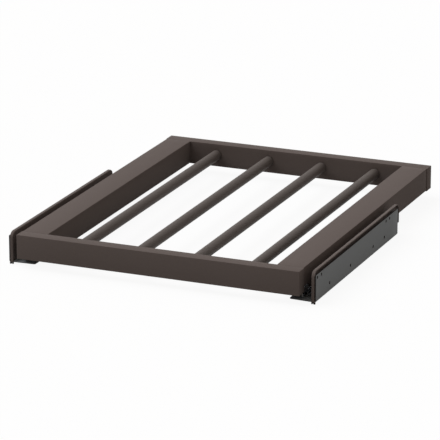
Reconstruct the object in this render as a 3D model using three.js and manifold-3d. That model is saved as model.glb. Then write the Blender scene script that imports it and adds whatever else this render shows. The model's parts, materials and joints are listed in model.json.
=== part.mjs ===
// Pull out trouser rack: a dark frame with four round hanging rods that slides out of a wardrobe
// on a pair of flat three-member ball runners, each carried by an angled steel wall bracket.
// Millimetres. +X is to the right, +Y to the back, +Z up, and the front faces -Y. Everything is
// laid out from the rack's own front face (y = 0) and underside (z = 0), and one group then puts
// the origin in the middle of the footprint at the height of the lowest point.
import * as THREE from 'three';
import { mergeVertices } from 'three/addons/utils/BufferGeometryUtils.js';
import Module from 'manifold-3d';

const wasm = await Module();
wasm.setup();

// Frame of the rack
const rackWidth = 426;
const rackDepth = 546;
const rackHeight = 35.3;
const crossRailThickness = 19;
const sideRailWidth = 39;
const crossRailOverhang = 1;
const railEdgeRadius = 0.9;
const railEndRadius = 0.6;
const railEdgeSteps = 2;

// Hanging rods, steel tube let into the cross rails
const rodCount = 4;
const rodDiameter = 16;
const rodDrop = 17.3;
const rodPitch = 86;
const rodWall = 1.2;
const rodSocketDepth = 10;
const rodSides = 32;

// Corner joints: one dowel, one cam bolt and one cam lock in each corner
const dowelDiameter = 7.8;
const dowelInset = 28;
const dowelRailDepth = 12;
const dowelSideDepth = 22;
const dowelChamfer = 0.8;
const camInset = 10;
const camDistance = 24;
const camDiameter = 14.8;
const camHeight = 13.2;
const camRecess = 0.4;
const camMouthDiameter = 7.8;
const camSides = 20;
const camBoltHeight = 9.5;
const camBoltThreadDiameter = 5;
const camBoltThreadLength = 10.6;
const camBoltShankDiameter = 3.8;
const camBoltHeadDiameter = 6.6;
const camBoltHeadLength = 3;
const camChannelDiameter = 8;

// Wall brackets of bent sheet: a plate against the wardrobe side and a ledge under the rack
const bracketSheet = 1.4;
const plateHeight = 39;
const plateLength = 330;
const plateSetback = 14.4;
const ledgeInnerMargin = 1;
const ledgeCornerRadius = 3;
const bendRadius = 1.9;
const screwHoleDiameter = 4.5;
const pairHoleDrop = 4.4;
const pairFrontInset = 5.7;
const pairRearInset = 35;
const pairPitch = 15;
const lowerHoleLift = 12.4;
const lowerHoleShares = [0.1605, 0.409, 0.687, 0.8285];

// Moulded covers between the plates and the rack
const rackToCoverGap = 12.2;
const coverThickness = 5.3;
const coverWall = 1.6;
const coverTopWall = 1.4;
const coverFrontWidth = 4.6;
const coverLip = 5.4;
const coverFrontProud = 0.7;
const coverRearProud = 9.5;
const coverCornerRadius = 9;
const coverEdgeRadius = 0.8;
const coverEdgeSteps = 2;
const coverRearNotchHeight = 14.1;
const coverRearNotchLength = 14;
const coverPocketMargin = 4;
const coverRibThickness = 1.6;
const coverPocketCount = 4;
const coverBossDiameter = 7;
const coverPegDiameter = 3.9;
const legDrop = 2.8;
const legThickness = 2.4;
const legNotchWidth = 1.6;
const legNotchHeight = 1.2;

// Ball runners lying flat under the side rails
const slideHeight = 9.6;
const slideInset = 6;
const slideTravel = 320;
const channelSetback = 12;
const memberSheet = 1;
const middleSheet = 0.8;
const ballDiameter = 2.4;
const raceDepth = 0.4;
const raceSteps = 4;
const rackMemberHalfWidth = 6.1;
const rackMemberWall = 1.4;
const rackMemberInnerReach = 9.5;
const raceLip = 0.8;
const cageSheet = 0.35;
const cageSideSheet = 0.5;
const ballsPerRow = 6;
const cageEndMargin = 5;
const ballWidthSteps = 6;
const ballHeightSteps = 4;
const outerBallLift = 4;
const innerBallLift = 5.2;
const earLength = 16;
const earHeight = 8.2;
const earFrontInset = 0.4;
const earCornerRadius = 2;
const rearMargin = 1.5;

// Bumpers, screws and rivets
const bumperLength = 4.5;
const bumperHalfWidth = 7;
const bumperHeight = 6.2;
const bumperPegDiameter = 3;
const screwShares = [0.14, 0.5, 0.86];
const screwDiameter = 3.2;
const screwHeadDiameter = 6;
const screwHeadHeight = 1.5;
const screwReach = 12;
const recessWidth = 0.8;
const recessLength = 3.2;
const recessDepth = 0.7;
const rivetShares = [0.08, 0.5, 0.92];
const rivetDiameter = 3.8;
const rivetHeadDiameter = 6.6;
const rivetHeadHeight = 0.9;
const rivetFlushDrop = 0.2;

// Fits
const seatGap = 0.1;
const holeGap = 0.1;
const ballGap = 0.05;
const cageGap = 0.2;
const wallBottomGap = 0.5;
const bumperGap = 0.3;
const cutOverrun = 5;
const smallSides = 12;
const cornerSteps = 5;

// Places that follow from the sizes, all for the right-hand side
const halfRack = rackWidth / 2;
const sideRailOuterX = halfRack - crossRailOverhang;
const sideRailInnerX = sideRailOuterX - sideRailWidth;
const sideRailFrontY = crossRailThickness + seatGap;
const sideRailLength = rackDepth - 2 * sideRailFrontY;
const rodZ = rackHeight - rodDrop;
const coverInnerX = halfRack + rackToCoverGap;
const coverOuterX = coverInnerX + coverThickness;
const plateInnerX = coverOuterX + seatGap;
const plateOuterX = plateInnerX + bracketSheet;
const ledgeTopZ = -slideHeight;
const plateBottomZ = ledgeTopZ - bracketSheet;
const plateTopZ = plateBottomZ + plateHeight;
const plateRearY = plateSetback + plateLength;
const coverTopZ = plateTopZ + coverLip;
const coverBottomZ = ledgeTopZ + seatGap;
const coverFrontY = plateSetback - coverFrontProud;
const coverRearY = plateRearY + coverRearProud;
const legBottomZ = plateBottomZ - legDrop;
const legRearY = coverFrontY + legThickness;
const ledgeFrontY = legRearY + seatGap;
const slideCentreX = sideRailOuterX - slideInset;
const slideFrontY = ledgeFrontY + seatGap;
const slideRearY = plateRearY - rearMargin;
const channelFrontY = slideFrontY + channelSetback;
const cabinetLength = slideRearY - channelFrontY;
const bumperFrontY = slideRearY - rearMargin - bumperLength;
const movingLength = bumperFrontY - bumperGap - slideFrontY;
const middleLength = movingLength - channelSetback;
const cageLength = middleLength - slideTravel / 2 - 2 * cageEndMargin;
const cageFrontY = channelFrontY + slideTravel / 4 + cageEndMargin;

// Heights above the ledge and half widths across a runner
const ballRadius = ballDiameter / 2;
const raceRadius = ballRadius + ballGap;
const cabinetBaseBottom = seatGap;
const cabinetBaseTop = cabinetBaseBottom + memberSheet;
const outerCageBottom = cabinetBaseTop + cageGap;
const outerCageTop = outerCageBottom + cageSheet;
const middleBaseBottom = outerCageTop + cageGap;
const middleBaseTop = middleBaseBottom + middleSheet;
const innerCageBottom = middleBaseTop + cageGap;
const innerCageTop = innerCageBottom + cageSheet;
const rackWallBottom = innerCageTop + wallBottomGap;
const rackPlateTop = slideHeight - seatGap;
const rackPlateBottom = rackPlateTop - memberSheet;
const innerBallOffset = rackMemberHalfWidth - raceDepth + raceRadius;
const middleInnerFace = innerBallOffset + raceRadius - raceDepth;
const middleOuterFace = middleInnerFace + 2 * raceDepth + middleSheet;
const outerBallOffset = middleOuterFace - raceDepth + raceRadius;
const cabinetInnerFace = outerBallOffset + raceRadius - raceDepth;
const cabinetOuterFace = cabinetInnerFace + raceDepth + memberSheet;
const raceHalfAngle = Math.acos((raceRadius - raceDepth) / raceRadius);
const raceHalfHeight = raceRadius * Math.sin(raceHalfAngle);
const cabinetWallTop = outerBallLift + raceHalfHeight + raceLip;
const middleWallTop = innerBallLift + raceHalfHeight + raceLip;
const rackPlateOuterReach = slideInset + 2 * seatGap + memberSheet;
const earOuterX = slideCentreX + rackPlateOuterReach;
const earInnerX = earOuterX - memberSheet;
const earFrontY = sideRailFrontY + earFrontInset;
const earScrewY = earFrontY + earLength / 2;
const earScrewZ = (earHeight - seatGap - memberSheet) / 2;
const ledgeInnerX = slideCentreX - cabinetOuterFace - ledgeInnerMargin;

// Finishes
const frameColour = 0x635955;
const rodColour = 0x5f5652;
const coverColour = 0x625955;
const bracketColour = 0x878788;
const runnerColour = 0x85878a;
const cageColour = 0x6f7375;
const zincColour = 0xa5a8ab;
const bumperColour = 0x232221;
const dowelColour = 0xc9a877;

const rack = new THREE.Group();
rack.position.set(0, -rackDepth / 2, -legBottomZ);

// One named mesh with a material of its own.
function addPiece(name, geometry, color, roughness, metalness) {
  geometry.computeVertexNormals();
  const material = new THREE.MeshStandardMaterial({ color, roughness, metalness, flatShading: true });
  const piece = new THREE.Mesh(geometry, material);
  piece.name = name;
  rack.add(piece);
}

// Keeps only the positions of a geometry and joins its shared corners.
function bare(geometry) {
  geometry.deleteAttribute('normal');
  geometry.deleteAttribute('uv');
  return mergeVertices(geometry);
}

// A closed geometry as a solid that can be joined and cut.
function solid(geometry) {
  const merged = bare(geometry.clone());
  const vertProperties = new Float32Array(merged.attributes.position.array);
  const triVerts = new Uint32Array(merged.index.array);
  return new wasm.Manifold(new wasm.Mesh({ numProp: 3, vertProperties, triVerts }));
}

// The surface of a joined and cut solid.
function surface(manifold) {
  const mesh = manifold.getMesh();
  const geometry = new THREE.BufferGeometry();
  geometry.setAttribute('position', new THREE.BufferAttribute(mesh.vertProperties, 3));
  geometry.setIndex(new THREE.BufferAttribute(mesh.triVerts, 1));
  return geometry;
}

// The left-hand copy of a right-hand piece, with its faces turned to point outwards again.
function mirrored(geometry) {
  const copy = bare(geometry.clone());
  copy.scale(-1, 1, 1);
  const corners = copy.index.array;
  for (let i = 0; i < corners.length; i += 3) {
    const second = corners[i + 1];
    corners[i + 1] = corners[i + 2];
    corners[i + 2] = second;
  }
  return copy;
}

// A right-hand piece and its mirror image.
function addPair(name, geometry, color, roughness, metalness) {
  addPiece(`${name}_right`, geometry, color, roughness, metalness);
  addPiece(`${name}_left`, mirrored(geometry), color, roughness, metalness);
}

// A rectangle with round corners.
function roundedRectangle(left, right, bottom, top, radius) {
  const shape = new THREE.Shape();
  shape.moveTo(left + radius, bottom);
  shape.lineTo(right - radius, bottom);
  shape.absarc(right - radius, bottom + radius, radius, -Math.PI / 2, 0, false);
  shape.lineTo(right, top - radius);
  shape.absarc(right - radius, top - radius, radius, 0, Math.PI / 2, false);
  shape.lineTo(left + radius, top);
  shape.absarc(left + radius, top - radius, radius, Math.PI / 2, Math.PI, false);
  shape.lineTo(left, bottom + radius);
  shape.absarc(left + radius, bottom + radius, radius, Math.PI, 1.5 * Math.PI, false);
  return shape;
}

// An outline in X and Z, carried along Y.
function extrudedAlongY(shape, frontY, length, curveSegments = cornerSteps) {
  const geometry = new THREE.ExtrudeGeometry(shape, { depth: length, bevelEnabled: false, curveSegments });
  geometry.rotateX(Math.PI / 2);
  geometry.translate(0, frontY + length, 0);
  return geometry;
}

// An outline in Y and Z, carried along X, with its two rims rounded where a radius is given.
function extrudedAlongX(shape, leftX, length, curveSegments, rimRadius, rimSteps) {
  const geometry = new THREE.ExtrudeGeometry(shape, {
    depth: length - 2 * rimRadius,
    bevelEnabled: rimRadius > 0,
    bevelThickness: rimRadius,
    bevelSize: rimRadius,
    bevelOffset: -rimRadius,
    bevelSegments: rimSteps,
    curveSegments,
  });
  geometry.applyMatrix4(new THREE.Matrix4().set(0, 0, 1, 0, 1, 0, 0, 0, 0, 1, 0, 0, 0, 0, 0, 1));
  geometry.translate(leftX + rimRadius, 0, 0);
  return geometry;
}

function box(left, right, front, rear, bottom, top) {
  const geometry = new THREE.BoxGeometry(right - left, rear - front, top - bottom);
  geometry.translate((left + right) / 2, (front + rear) / 2, (bottom + top) / 2);
  return geometry;
}

function cylinderAlongX(radius, left, right, y, z, sides = smallSides) {
  const geometry = new THREE.CylinderGeometry(radius, radius, right - left, sides);
  geometry.rotateZ(Math.PI / 2);
  geometry.translate((left + right) / 2, y, z);
  return geometry;
}

function cylinderAlongY(radius, x, front, rear, z, sides = smallSides) {
  const geometry = new THREE.CylinderGeometry(radius, radius, rear - front, sides);
  geometry.translate(x, (front + rear) / 2, z);
  return geometry;
}

function cylinderAlongZ(radius, x, y, bottom, top, sides = smallSides) {
  const geometry = new THREE.CylinderGeometry(radius, radius, top - bottom, sides);
  geometry.rotateX(Math.PI / 2);
  geometry.translate(x, y, (bottom + top) / 2);
  return geometry;
}

// A turned piece about the Y axis, from pairs of radius and distance along the axis.
function turned(pairs, sides = smallSides) {
  const points = pairs.map(([radius, distance]) => new THREE.Vector2(radius, distance));
  return bare(new THREE.LatheGeometry(points, sides));
}

function cut(body, ...tools) {
  let result = solid(body);
  for (const tool of tools) {
    result = result.subtract(solid(tool));
  }
  return surface(result);
}

function join(body, ...additions) {
  let result = solid(body);
  for (const addition of additions) {
    result = result.add(solid(addition));
  }
  return surface(result);
}

// Where the rods stand along X.
const rodCentres = [];
for (let i = 0; i < rodCount; i += 1) {
  rodCentres.push((i - (rodCount - 1) / 2) * rodPitch);
}
const rodNames = rodCentres.map((x, i) => `hanging_rod_${i + 1}`);

// Front and rear rails: boards on edge with round edges, bored for rods, dowels and cam bolts.
function crossRail(sign, jointY, outerY) {
  const front = Math.min(jointY, outerY);
  const rear = Math.max(jointY, outerY);
  const outline = roundedRectangle(front, rear, 0, rackHeight, railEdgeRadius);
  const board = extrudedAlongX(outline, -halfRack, rackWidth, railEdgeSteps, railEndRadius, railEdgeSteps);
  const holes = [];
  const bore = (radius, x, z, depth, sides) => {
    const mouth = jointY + sign * cutOverrun;
    const bottom = jointY - sign * depth;
    holes.push(cylinderAlongY(radius, x, Math.min(mouth, bottom), Math.max(mouth, bottom), z, sides));
  };
  for (const x of rodCentres) {
    bore(rodDiameter / 2 + holeGap, x, rodZ, rodSocketDepth, rodSides);
  }
  for (const side of [-1, 1]) {
    const dowelX = side * (sideRailInnerX + dowelInset);
    const camX = side * (sideRailInnerX + camInset);
    bore(dowelDiameter / 2 + holeGap, dowelX, rackHeight / 2, dowelRailDepth, smallSides);
    bore(camBoltThreadDiameter / 2 + holeGap, camX, camBoltHeight, camBoltThreadLength + seatGap, smallSides);
  }
  return cut(board, ...holes);
}

// Side rails: wide square bars between the cross rails, bored at their ends and underside.
function sideRail() {
  const outline = roundedRectangle(sideRailInnerX, sideRailOuterX, 0, rackHeight, railEdgeRadius);
  const bar = extrudedAlongY(outline, sideRailFrontY, sideRailLength, railEdgeSteps);
  const holes = [];
  const ends = [
    { face: sideRailFrontY, inward: 1 },
    { face: sideRailFrontY + sideRailLength, inward: -1 },
  ];
  for (const { face, inward } of ends) {
    const mouth = face - inward * cutOverrun;
    const dowelEnd = face + inward * dowelSideDepth;
    const camY = face + inward * camDistance;
    const dowelX = sideRailInnerX + dowelInset;
    const camX = sideRailInnerX + camInset;
    const camTop = camRecess + camHeight + seatGap;
    holes.push(
      cylinderAlongY(dowelDiameter / 2 + holeGap, dowelX, Math.min(mouth, dowelEnd),
        Math.max(mouth, dowelEnd), rackHeight / 2),
      cylinderAlongY(camChannelDiameter / 2, camX, Math.min(mouth, camY), Math.max(mouth, camY), camBoltHeight),
      cylinderAlongZ(camDiameter / 2 + holeGap, camX, camY, -cutOverrun, camTop, camSides),
    );
  }
  const pilotDepth = screwReach + screwDiameter / 2;
  for (const share of screwShares) {
    const y = slideFrontY + share * movingLength;
    holes.push(cylinderAlongZ(screwDiameter / 2 + holeGap, slideCentreX, y, -cutOverrun, pilotDepth));
  }
  const earScrewEnd = sideRailOuterX - pilotDepth;
  holes.push(cylinderAlongX(screwDiameter / 2 + holeGap, earScrewEnd, sideRailOuterX + cutOverrun,
    earScrewY, earScrewZ));
  return cut(bar, ...holes);
}

// Hanging rods: tubes whose ends sit in the cross rails' sockets.
function hangingRod(x) {
  const outer = rodDiameter / 2;
  const inner = outer - rodWall;
  const front = crossRailThickness - rodSocketDepth + seatGap;
  const rear = rackDepth - front;
  const geometry = turned([[inner, front], [outer, front], [outer, rear], [inner, rear], [inner, front]], rodSides);
  geometry.translate(x, 0, rodZ);
  return geometry;
}

// A fluteless dowel with chamfered ends, from the cross rail into the side rail.
function dowel() {
  const radius = dowelDiameter / 2;
  const low = -dowelRailDepth + seatGap;
  const high = dowelSideDepth - seatGap;
  return turned([
    [0, low],
    [radius - dowelChamfer, low],
    [radius, low + dowelChamfer],
    [radius, high - dowelChamfer],
    [radius - dowelChamfer, high],
    [0, high],
  ]);
}

// Cam bolt: thread in the cross rail, shank in the side rail and a head held by the cam lock.
function camBolt() {
  const thread = camBoltThreadDiameter / 2;
  const shank = camBoltShankDiameter / 2;
  const head = camBoltHeadDiameter / 2;
  const headEnd = camDistance + camBoltHeadLength / 2;
  return turned([
    [0, -camBoltThreadLength],
    [thread, -camBoltThreadLength],
    [thread, 0],
    [shank, thread],
    [shank, headEnd - camBoltHeadLength],
    [head, headEnd - camBoltHeadLength],
    [head, headEnd],
    [0, headEnd],
  ]);
}

// A cross recess, as two crossing bars.
function crossRecess(x, y, bottom, top) {
  return [
    box(x - recessLength / 2, x + recessLength / 2, y - recessWidth / 2, y + recessWidth / 2, bottom, top),
    box(x - recessWidth / 2, x + recessWidth / 2, y - recessLength / 2, y + recessLength / 2, bottom, top),
  ];
}

// Cam lock: a drum with a mouth for the bolt's head and a cross recess in its underside.
function camLock(x, y, towardsJoint) {
  const radius = camDiameter / 2;
  const drum = cylinderAlongZ(radius, x, y, camRecess, camRecess + camHeight, camSides);
  const mouth = y + towardsJoint * (radius + cutOverrun);
  const back = y - towardsJoint * camBoltHeadLength;
  return cut(
    drum,
    cylinderAlongY(camMouthDiameter / 2, x, Math.min(mouth, back), Math.max(mouth, back), camBoltHeight),
    ...crossRecess(x, y, camRecess - cutOverrun, camRecess + recessDepth),
  );
}

function addFrame() {
  addPiece('front_rail', crossRail(1, crossRailThickness, 0), frameColour, 0.5, 0);
  addPiece('rear_rail', crossRail(-1, rackDepth - crossRailThickness, rackDepth), frameColour, 0.5, 0);
  addPair('side_rail', sideRail(), frameColour, 0.5, 0);
  rodCentres.forEach((x, i) => addPiece(rodNames[i], hangingRod(x), rodColour, 0.45, 0));
}

function addCornerJoints() {
  const corners = [
    { name: 'front', jointY: crossRailThickness, inward: 1 },
    { name: 'rear', jointY: rackDepth - crossRailThickness, inward: -1 },
  ];
  for (const { name, jointY, inward } of corners) {
    const dowelX = sideRailInnerX + dowelInset;
    const camX = sideRailInnerX + camInset;
    const turn = inward > 0 ? 0 : Math.PI;
    const placed = (geometry, x, z) => {
      geometry.rotateZ(turn);
      geometry.translate(x, jointY, z);
      return geometry;
    };
    addPair(`${name}_dowel`, placed(dowel(), dowelX, rackHeight / 2), dowelColour, 0.7, 0);
    addPair(`${name}_cam_bolt`, placed(camBolt(), camX, camBoltHeight), zincColour, 0.35, 0.9);
    const camY = jointY + inward * (seatGap + camDistance);
    addPair(`${name}_cam_lock`, camLock(camX, camY, -inward), zincColour, 0.35, 0.9);
  }
}

// Screw holes of the plate: a pair high up at each end and a row low down.
const upperHoleZ = plateTopZ - pairHoleDrop;
const lowerHoleZ = plateBottomZ + lowerHoleLift;
const frontHoleY = plateSetback + pairFrontInset;
const rearHoleY = plateRearY - pairRearInset - pairPitch;
const screwHoles = [
  [frontHoleY, upperHoleZ],
  [rearHoleY + pairPitch, upperHoleZ],
  ...lowerHoleShares.map((share) => [plateSetback + share * plateLength, lowerHoleZ]),
];
const pegHoles = [
  [frontHoleY + pairPitch, upperHoleZ],
  [rearHoleY, upperHoleZ],
];
const rivetPlaces = rivetShares.map((share) => channelFrontY + share * cabinetLength);
const bumperY = bumperFrontY + bumperLength / 2;

// Wall bracket: one bent sheet. The plate is drilled, and the ledge stops behind the cover's leg.
function wallBracket() {
  const outline = new THREE.Shape();
  outline.moveTo(ledgeInnerX, plateBottomZ);
  outline.lineTo(plateOuterX - bendRadius, plateBottomZ);
  outline.absarc(plateOuterX - bendRadius, plateBottomZ + bendRadius, bendRadius, -Math.PI / 2, 0, false);
  outline.lineTo(plateOuterX, plateTopZ);
  outline.lineTo(plateInnerX, plateTopZ);
  const innerBend = bendRadius - bracketSheet;
  outline.lineTo(plateInnerX, ledgeTopZ + innerBend);
  outline.absarc(plateInnerX - innerBend, ledgeTopZ + innerBend, innerBend, 0, -Math.PI / 2, true);
  outline.lineTo(ledgeInnerX, ledgeTopZ);
  const sheet = extrudedAlongY(outline, plateSetback, plateLength);
  const under = plateBottomZ - cutOverrun;
  const over = ledgeTopZ + bendRadius;
  const tools = [box(ledgeInnerX - cutOverrun, plateInnerX, plateSetback - cutOverrun, ledgeFrontY, under, over)];
  for (const [y, z] of [...screwHoles, ...pegHoles]) {
    tools.push(cylinderAlongX(screwHoleDiameter / 2, plateInnerX - cutOverrun, plateOuterX + cutOverrun, y, z));
  }
  for (const y of rivetPlaces) {
    tools.push(cylinderAlongZ(rivetDiameter / 2 + holeGap, slideCentreX, y, under, over));
  }
  tools.push(cylinderAlongZ(bumperPegDiameter / 2 + holeGap, slideCentreX, bumperY, under, over));
  tools.push(ledgeCorner(ledgeFrontY, 1, under, over), ledgeCorner(plateRearY, -1, under, over));
  return cut(sheet, ...tools);
}

// What rounding takes off the inner corner of the ledge: a square less a quarter circle.
function ledgeCorner(endY, inward, under, over) {
  const left = ledgeInnerX - cutOverrun;
  const right = ledgeInnerX + ledgeCornerRadius;
  const outer = endY - inward * cutOverrun;
  const centreY = endY + inward * ledgeCornerRadius;
  const square = box(left, right, Math.min(outer, centreY), Math.max(outer, centreY), under, over);
  const round = cylinderAlongZ(ledgeCornerRadius, right, centreY, under - cutOverrun, over + cutOverrun);
  return cut(square, round);
}

// Cover: a moulded strip with round top corners, open towards the plate and above it, with ribs,
// two pegs that snap into the plate, a leg in front of the ledge and a notch at its lower rear.
function cover() {
  const notchTop = coverBottomZ + coverRearNotchHeight;
  const notchY = coverRearY - coverRearNotchLength;
  const outline = new THREE.Shape();
  outline.moveTo(coverFrontY, legBottomZ);
  outline.lineTo(legRearY, legBottomZ);
  outline.lineTo(legRearY, coverBottomZ);
  outline.lineTo(notchY, coverBottomZ);
  outline.lineTo(notchY, notchTop);
  outline.lineTo(coverRearY, notchTop);
  outline.lineTo(coverRearY, coverTopZ - coverCornerRadius);
  outline.absarc(coverRearY - coverCornerRadius, coverTopZ - coverCornerRadius, coverCornerRadius,
    0, Math.PI / 2, false);
  outline.lineTo(coverFrontY + coverCornerRadius, coverTopZ);
  outline.absarc(coverFrontY + coverCornerRadius, coverTopZ - coverCornerRadius, coverCornerRadius,
    Math.PI / 2, Math.PI, false);
  outline.lineTo(coverFrontY, legBottomZ);
  const strip = extrudedAlongX(outline, coverInnerX, coverThickness, cornerSteps, coverEdgeRadius, coverEdgeSteps);
  let result = solid(strip);
  const pocketFront = plateSetback + coverPocketMargin;
  const pocketRear = notchY - coverPocketMargin;
  const pocketPitch = (pocketRear - pocketFront + coverRibThickness) / coverPocketCount;
  const pocketBottom = coverBottomZ + coverPocketMargin;
  const pocketTop = plateTopZ - coverPocketMargin / 2;
  const pocketLeft = coverInnerX + coverWall;
  const pocketRight = coverOuterX + cutOverrun;
  for (let i = 0; i < coverPocketCount; i += 1) {
    const front = pocketFront + i * pocketPitch;
    const rear = front + pocketPitch - coverRibThickness;
    const pocket = box(pocketLeft, pocketRight, front, rear, pocketBottom, pocketTop);
    result = result.subtract(solid(pocket));
  }
  const rearPocket = box(pocketLeft, pocketRight, pocketRear + coverRibThickness, coverRearY - coverWall,
    notchTop + coverWall, pocketTop + cutOverrun / 2);
  const channelRadius = coverCornerRadius - coverWall;
  const channel = roundedRectangle(coverFrontY + coverWall, coverRearY - coverWall,
    pocketTop - 2 * channelRadius, coverTopZ - coverTopWall, channelRadius);
  const channelCut = solid(extrudedAlongX(channel, pocketLeft, pocketRight - pocketLeft, cornerSteps, 0, 1))
    .subtract(solid(box(pocketLeft - cutOverrun, pocketRight + cutOverrun, coverFrontY - cutOverrun,
      coverRearY + cutOverrun, pocketTop - 3 * channelRadius, pocketTop)));
  const frontStep = box(coverInnerX + coverFrontWidth, pocketRight, coverFrontY - cutOverrun,
    pocketFront + cutOverrun, legBottomZ - cutOverrun, pocketTop);
  result = result.subtract(solid(rearPocket)).subtract(channelCut).subtract(solid(frontStep));
  for (const [y, z] of pegHoles) {
    const bossLeft = coverInnerX + coverWall / 2;
    result = result.add(solid(cylinderAlongX(coverBossDiameter / 2, bossLeft, coverOuterX, y, z)));
    const pegEnd = plateOuterX - seatGap;
    result = result.add(solid(cylinderAlongX(coverPegDiameter / 2, bossLeft, pegEnd, y, z)));
  }
  const notchLeft = coverInnerX + (coverFrontWidth - legNotchWidth) / 2;
  const legNotch = box(notchLeft, notchLeft + legNotchWidth, coverFrontY - cutOverrun,
    legRearY + cutOverrun, legBottomZ - cutOverrun, legBottomZ + legNotchHeight);
  return surface(result.subtract(solid(legNotch)));
}

// Points on the round race about a ball's centre, from its lower to its upper edge. The race is
// on the ball's outer side where outward is 1 and on its inner side where outward is -1.
function race(offset, lift, outward) {
  const points = [];
  for (let i = 0; i <= raceSteps; i += 1) {
    const angle = raceHalfAngle * ((2 * i) / raceSteps - 1);
    points.push([offset + outward * raceRadius * Math.cos(angle), lift + raceRadius * Math.sin(angle)]);
  }
  return points;
}

// A runner's outline from points across it and above the ledge.
function runnerShape(points) {
  return new THREE.Shape(points.map(([across, lift]) => new THREE.Vector2(slideCentreX + across, ledgeTopZ + lift)));
}

// An outline that is the same on both sides, from its right half.
function symmetricRunnerShape(half) {
  const other = half.map(([across, lift]) => [-across, lift]).reverse();
  return runnerShape([...half, ...other]);
}

// Cabinet member: the outer channel, fixed on the ledge.
function cabinetMember() {
  const shape = symmetricRunnerShape([
    [cabinetOuterFace, cabinetBaseBottom],
    [cabinetOuterFace, cabinetWallTop],
    [cabinetInnerFace, cabinetWallTop],
    ...race(outerBallOffset, outerBallLift, 1).reverse(),
    [cabinetInnerFace, cabinetBaseTop],
  ]);
  const channel = extrudedAlongY(shape, channelFrontY, cabinetLength);
  const under = ledgeTopZ - cutOverrun;
  const over = ledgeTopZ + cabinetWallTop;
  const holes = rivetPlaces.map((y) => (
    cylinderAlongZ(rivetDiameter / 2 + holeGap, slideCentreX, y, under, over)));
  holes.push(cylinderAlongZ(bumperPegDiameter / 2 + holeGap, slideCentreX, bumperY, under, over));
  return cut(channel, ...holes);
}

// Middle member: the channel between the two rows of balls on each side.
function middleMember() {
  const shape = symmetricRunnerShape([
    [middleOuterFace, middleBaseBottom],
    ...race(outerBallOffset, outerBallLift, -1),
    [middleOuterFace, middleWallTop],
    [middleInnerFace, middleWallTop],
    ...race(innerBallOffset, innerBallLift, 1).reverse(),
    [middleInnerFace, middleBaseTop],
  ]);
  return bare(extrudedAlongY(shape, channelFrontY, middleLength));
}

// Rack member: a plate under the side rail with two walls down to the inner balls, and an ear
// at the front that stands up against the rail's outer face.
function rackMember() {
  const inner = rackMemberHalfWidth - rackMemberWall;
  const rightRace = race(innerBallOffset, innerBallLift, -1);
  const leftRace = rightRace.map(([across, lift]) => [-across, lift]).reverse();
  const shape = runnerShape([
    [-rackMemberInnerReach, rackPlateTop],
    [-rackMemberInnerReach, rackPlateBottom],
    [-rackMemberHalfWidth, rackPlateBottom],
    ...leftRace,
    [-rackMemberHalfWidth, rackWallBottom],
    [-inner, rackWallBottom],
    [-inner, rackPlateBottom],
    [inner, rackPlateBottom],
    [inner, rackWallBottom],
    [rackMemberHalfWidth, rackWallBottom],
    ...rightRace,
    [rackMemberHalfWidth, rackPlateBottom],
    [rackPlateOuterReach, rackPlateBottom],
    [rackPlateOuterReach, rackPlateTop],
  ]);
  const bar = extrudedAlongY(shape, slideFrontY, movingLength);
  const earOutline = roundedRectangle(earFrontY, earFrontY + earLength, ledgeTopZ + rackPlateBottom,
    earHeight, earCornerRadius);
  const ear = extrudedAlongX(earOutline, earInnerX, memberSheet, cornerSteps, 0, 1);
  const foot = box(earInnerX, earOuterX, earFrontY, earFrontY + earLength,
    ledgeTopZ + rackPlateBottom, ledgeTopZ + rackPlateTop);
  let result = solid(bar).add(solid(foot)).add(solid(ear));
  for (const share of screwShares) {
    const y = slideFrontY + share * movingLength;
    const hole = cylinderAlongZ(screwDiameter / 2 + holeGap, slideCentreX, y, ledgeTopZ + rackWallBottom, cutOverrun);
    result = result.subtract(solid(hole));
  }
  const earHole = cylinderAlongX(screwDiameter / 2 + holeGap, earInnerX - seatGap, earOuterX + cutOverrun,
    earScrewY, earScrewZ);
  return surface(result.subtract(solid(earHole)));
}

// Ball cage: a thin strip folded up at both sides, with its balls.
function ballCage(offset, lift, bottom, top) {
  const outer = offset + cageSideSheet / 2;
  const inner = offset - cageSideSheet / 2;
  const sideTop = lift + ballRadius;
  const shape = symmetricRunnerShape([[outer, bottom], [outer, sideTop], [inner, sideTop], [inner, top]]);
  const strip = extrudedAlongY(shape, cageFrontY, cageLength);
  const balls = [];
  const pitch = cageLength / ballsPerRow;
  for (let i = 0; i < ballsPerRow; i += 1) {
    for (const side of [-1, 1]) {
      const ball = new THREE.SphereGeometry(ballRadius, ballWidthSteps, ballHeightSteps);
      ball.translate(slideCentreX + side * offset, cageFrontY + (i + 1 / 2) * pitch, ledgeTopZ + lift);
      balls.push(ball);
    }
  }
  return join(strip, ...balls);
}

// Rubber bumper at the runner's rear, with a peg through the channel and the ledge.
function bumper() {
  const bottom = ledgeTopZ + cabinetBaseTop + seatGap;
  const block = box(slideCentreX - bumperHalfWidth, slideCentreX + bumperHalfWidth,
    bumperFrontY, bumperFrontY + bumperLength, bottom, bottom + bumperHeight);
  const peg = cylinderAlongZ(bumperPegDiameter / 2, slideCentreX, bumperY, plateBottomZ, bottom + seatGap);
  return join(block, peg);
}

// Pan-head screw pointing up along Z, its head under the given height.
function panScrew() {
  const shank = screwDiameter / 2;
  const head = screwHeadDiameter / 2;
  const profile = turned([
    [0, -screwHeadHeight],
    [head - screwHeadHeight / 2, -screwHeadHeight],
    [head, -screwHeadHeight / 2],
    [head, 0],
    [shank, 0],
    [shank, screwReach],
    [0, screwReach + shank],
  ]);
  profile.rotateX(Math.PI / 2);
  return cut(profile, ...crossRecess(0, 0, -screwHeadHeight - cutOverrun, -screwHeadHeight + recessDepth));
}

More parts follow.
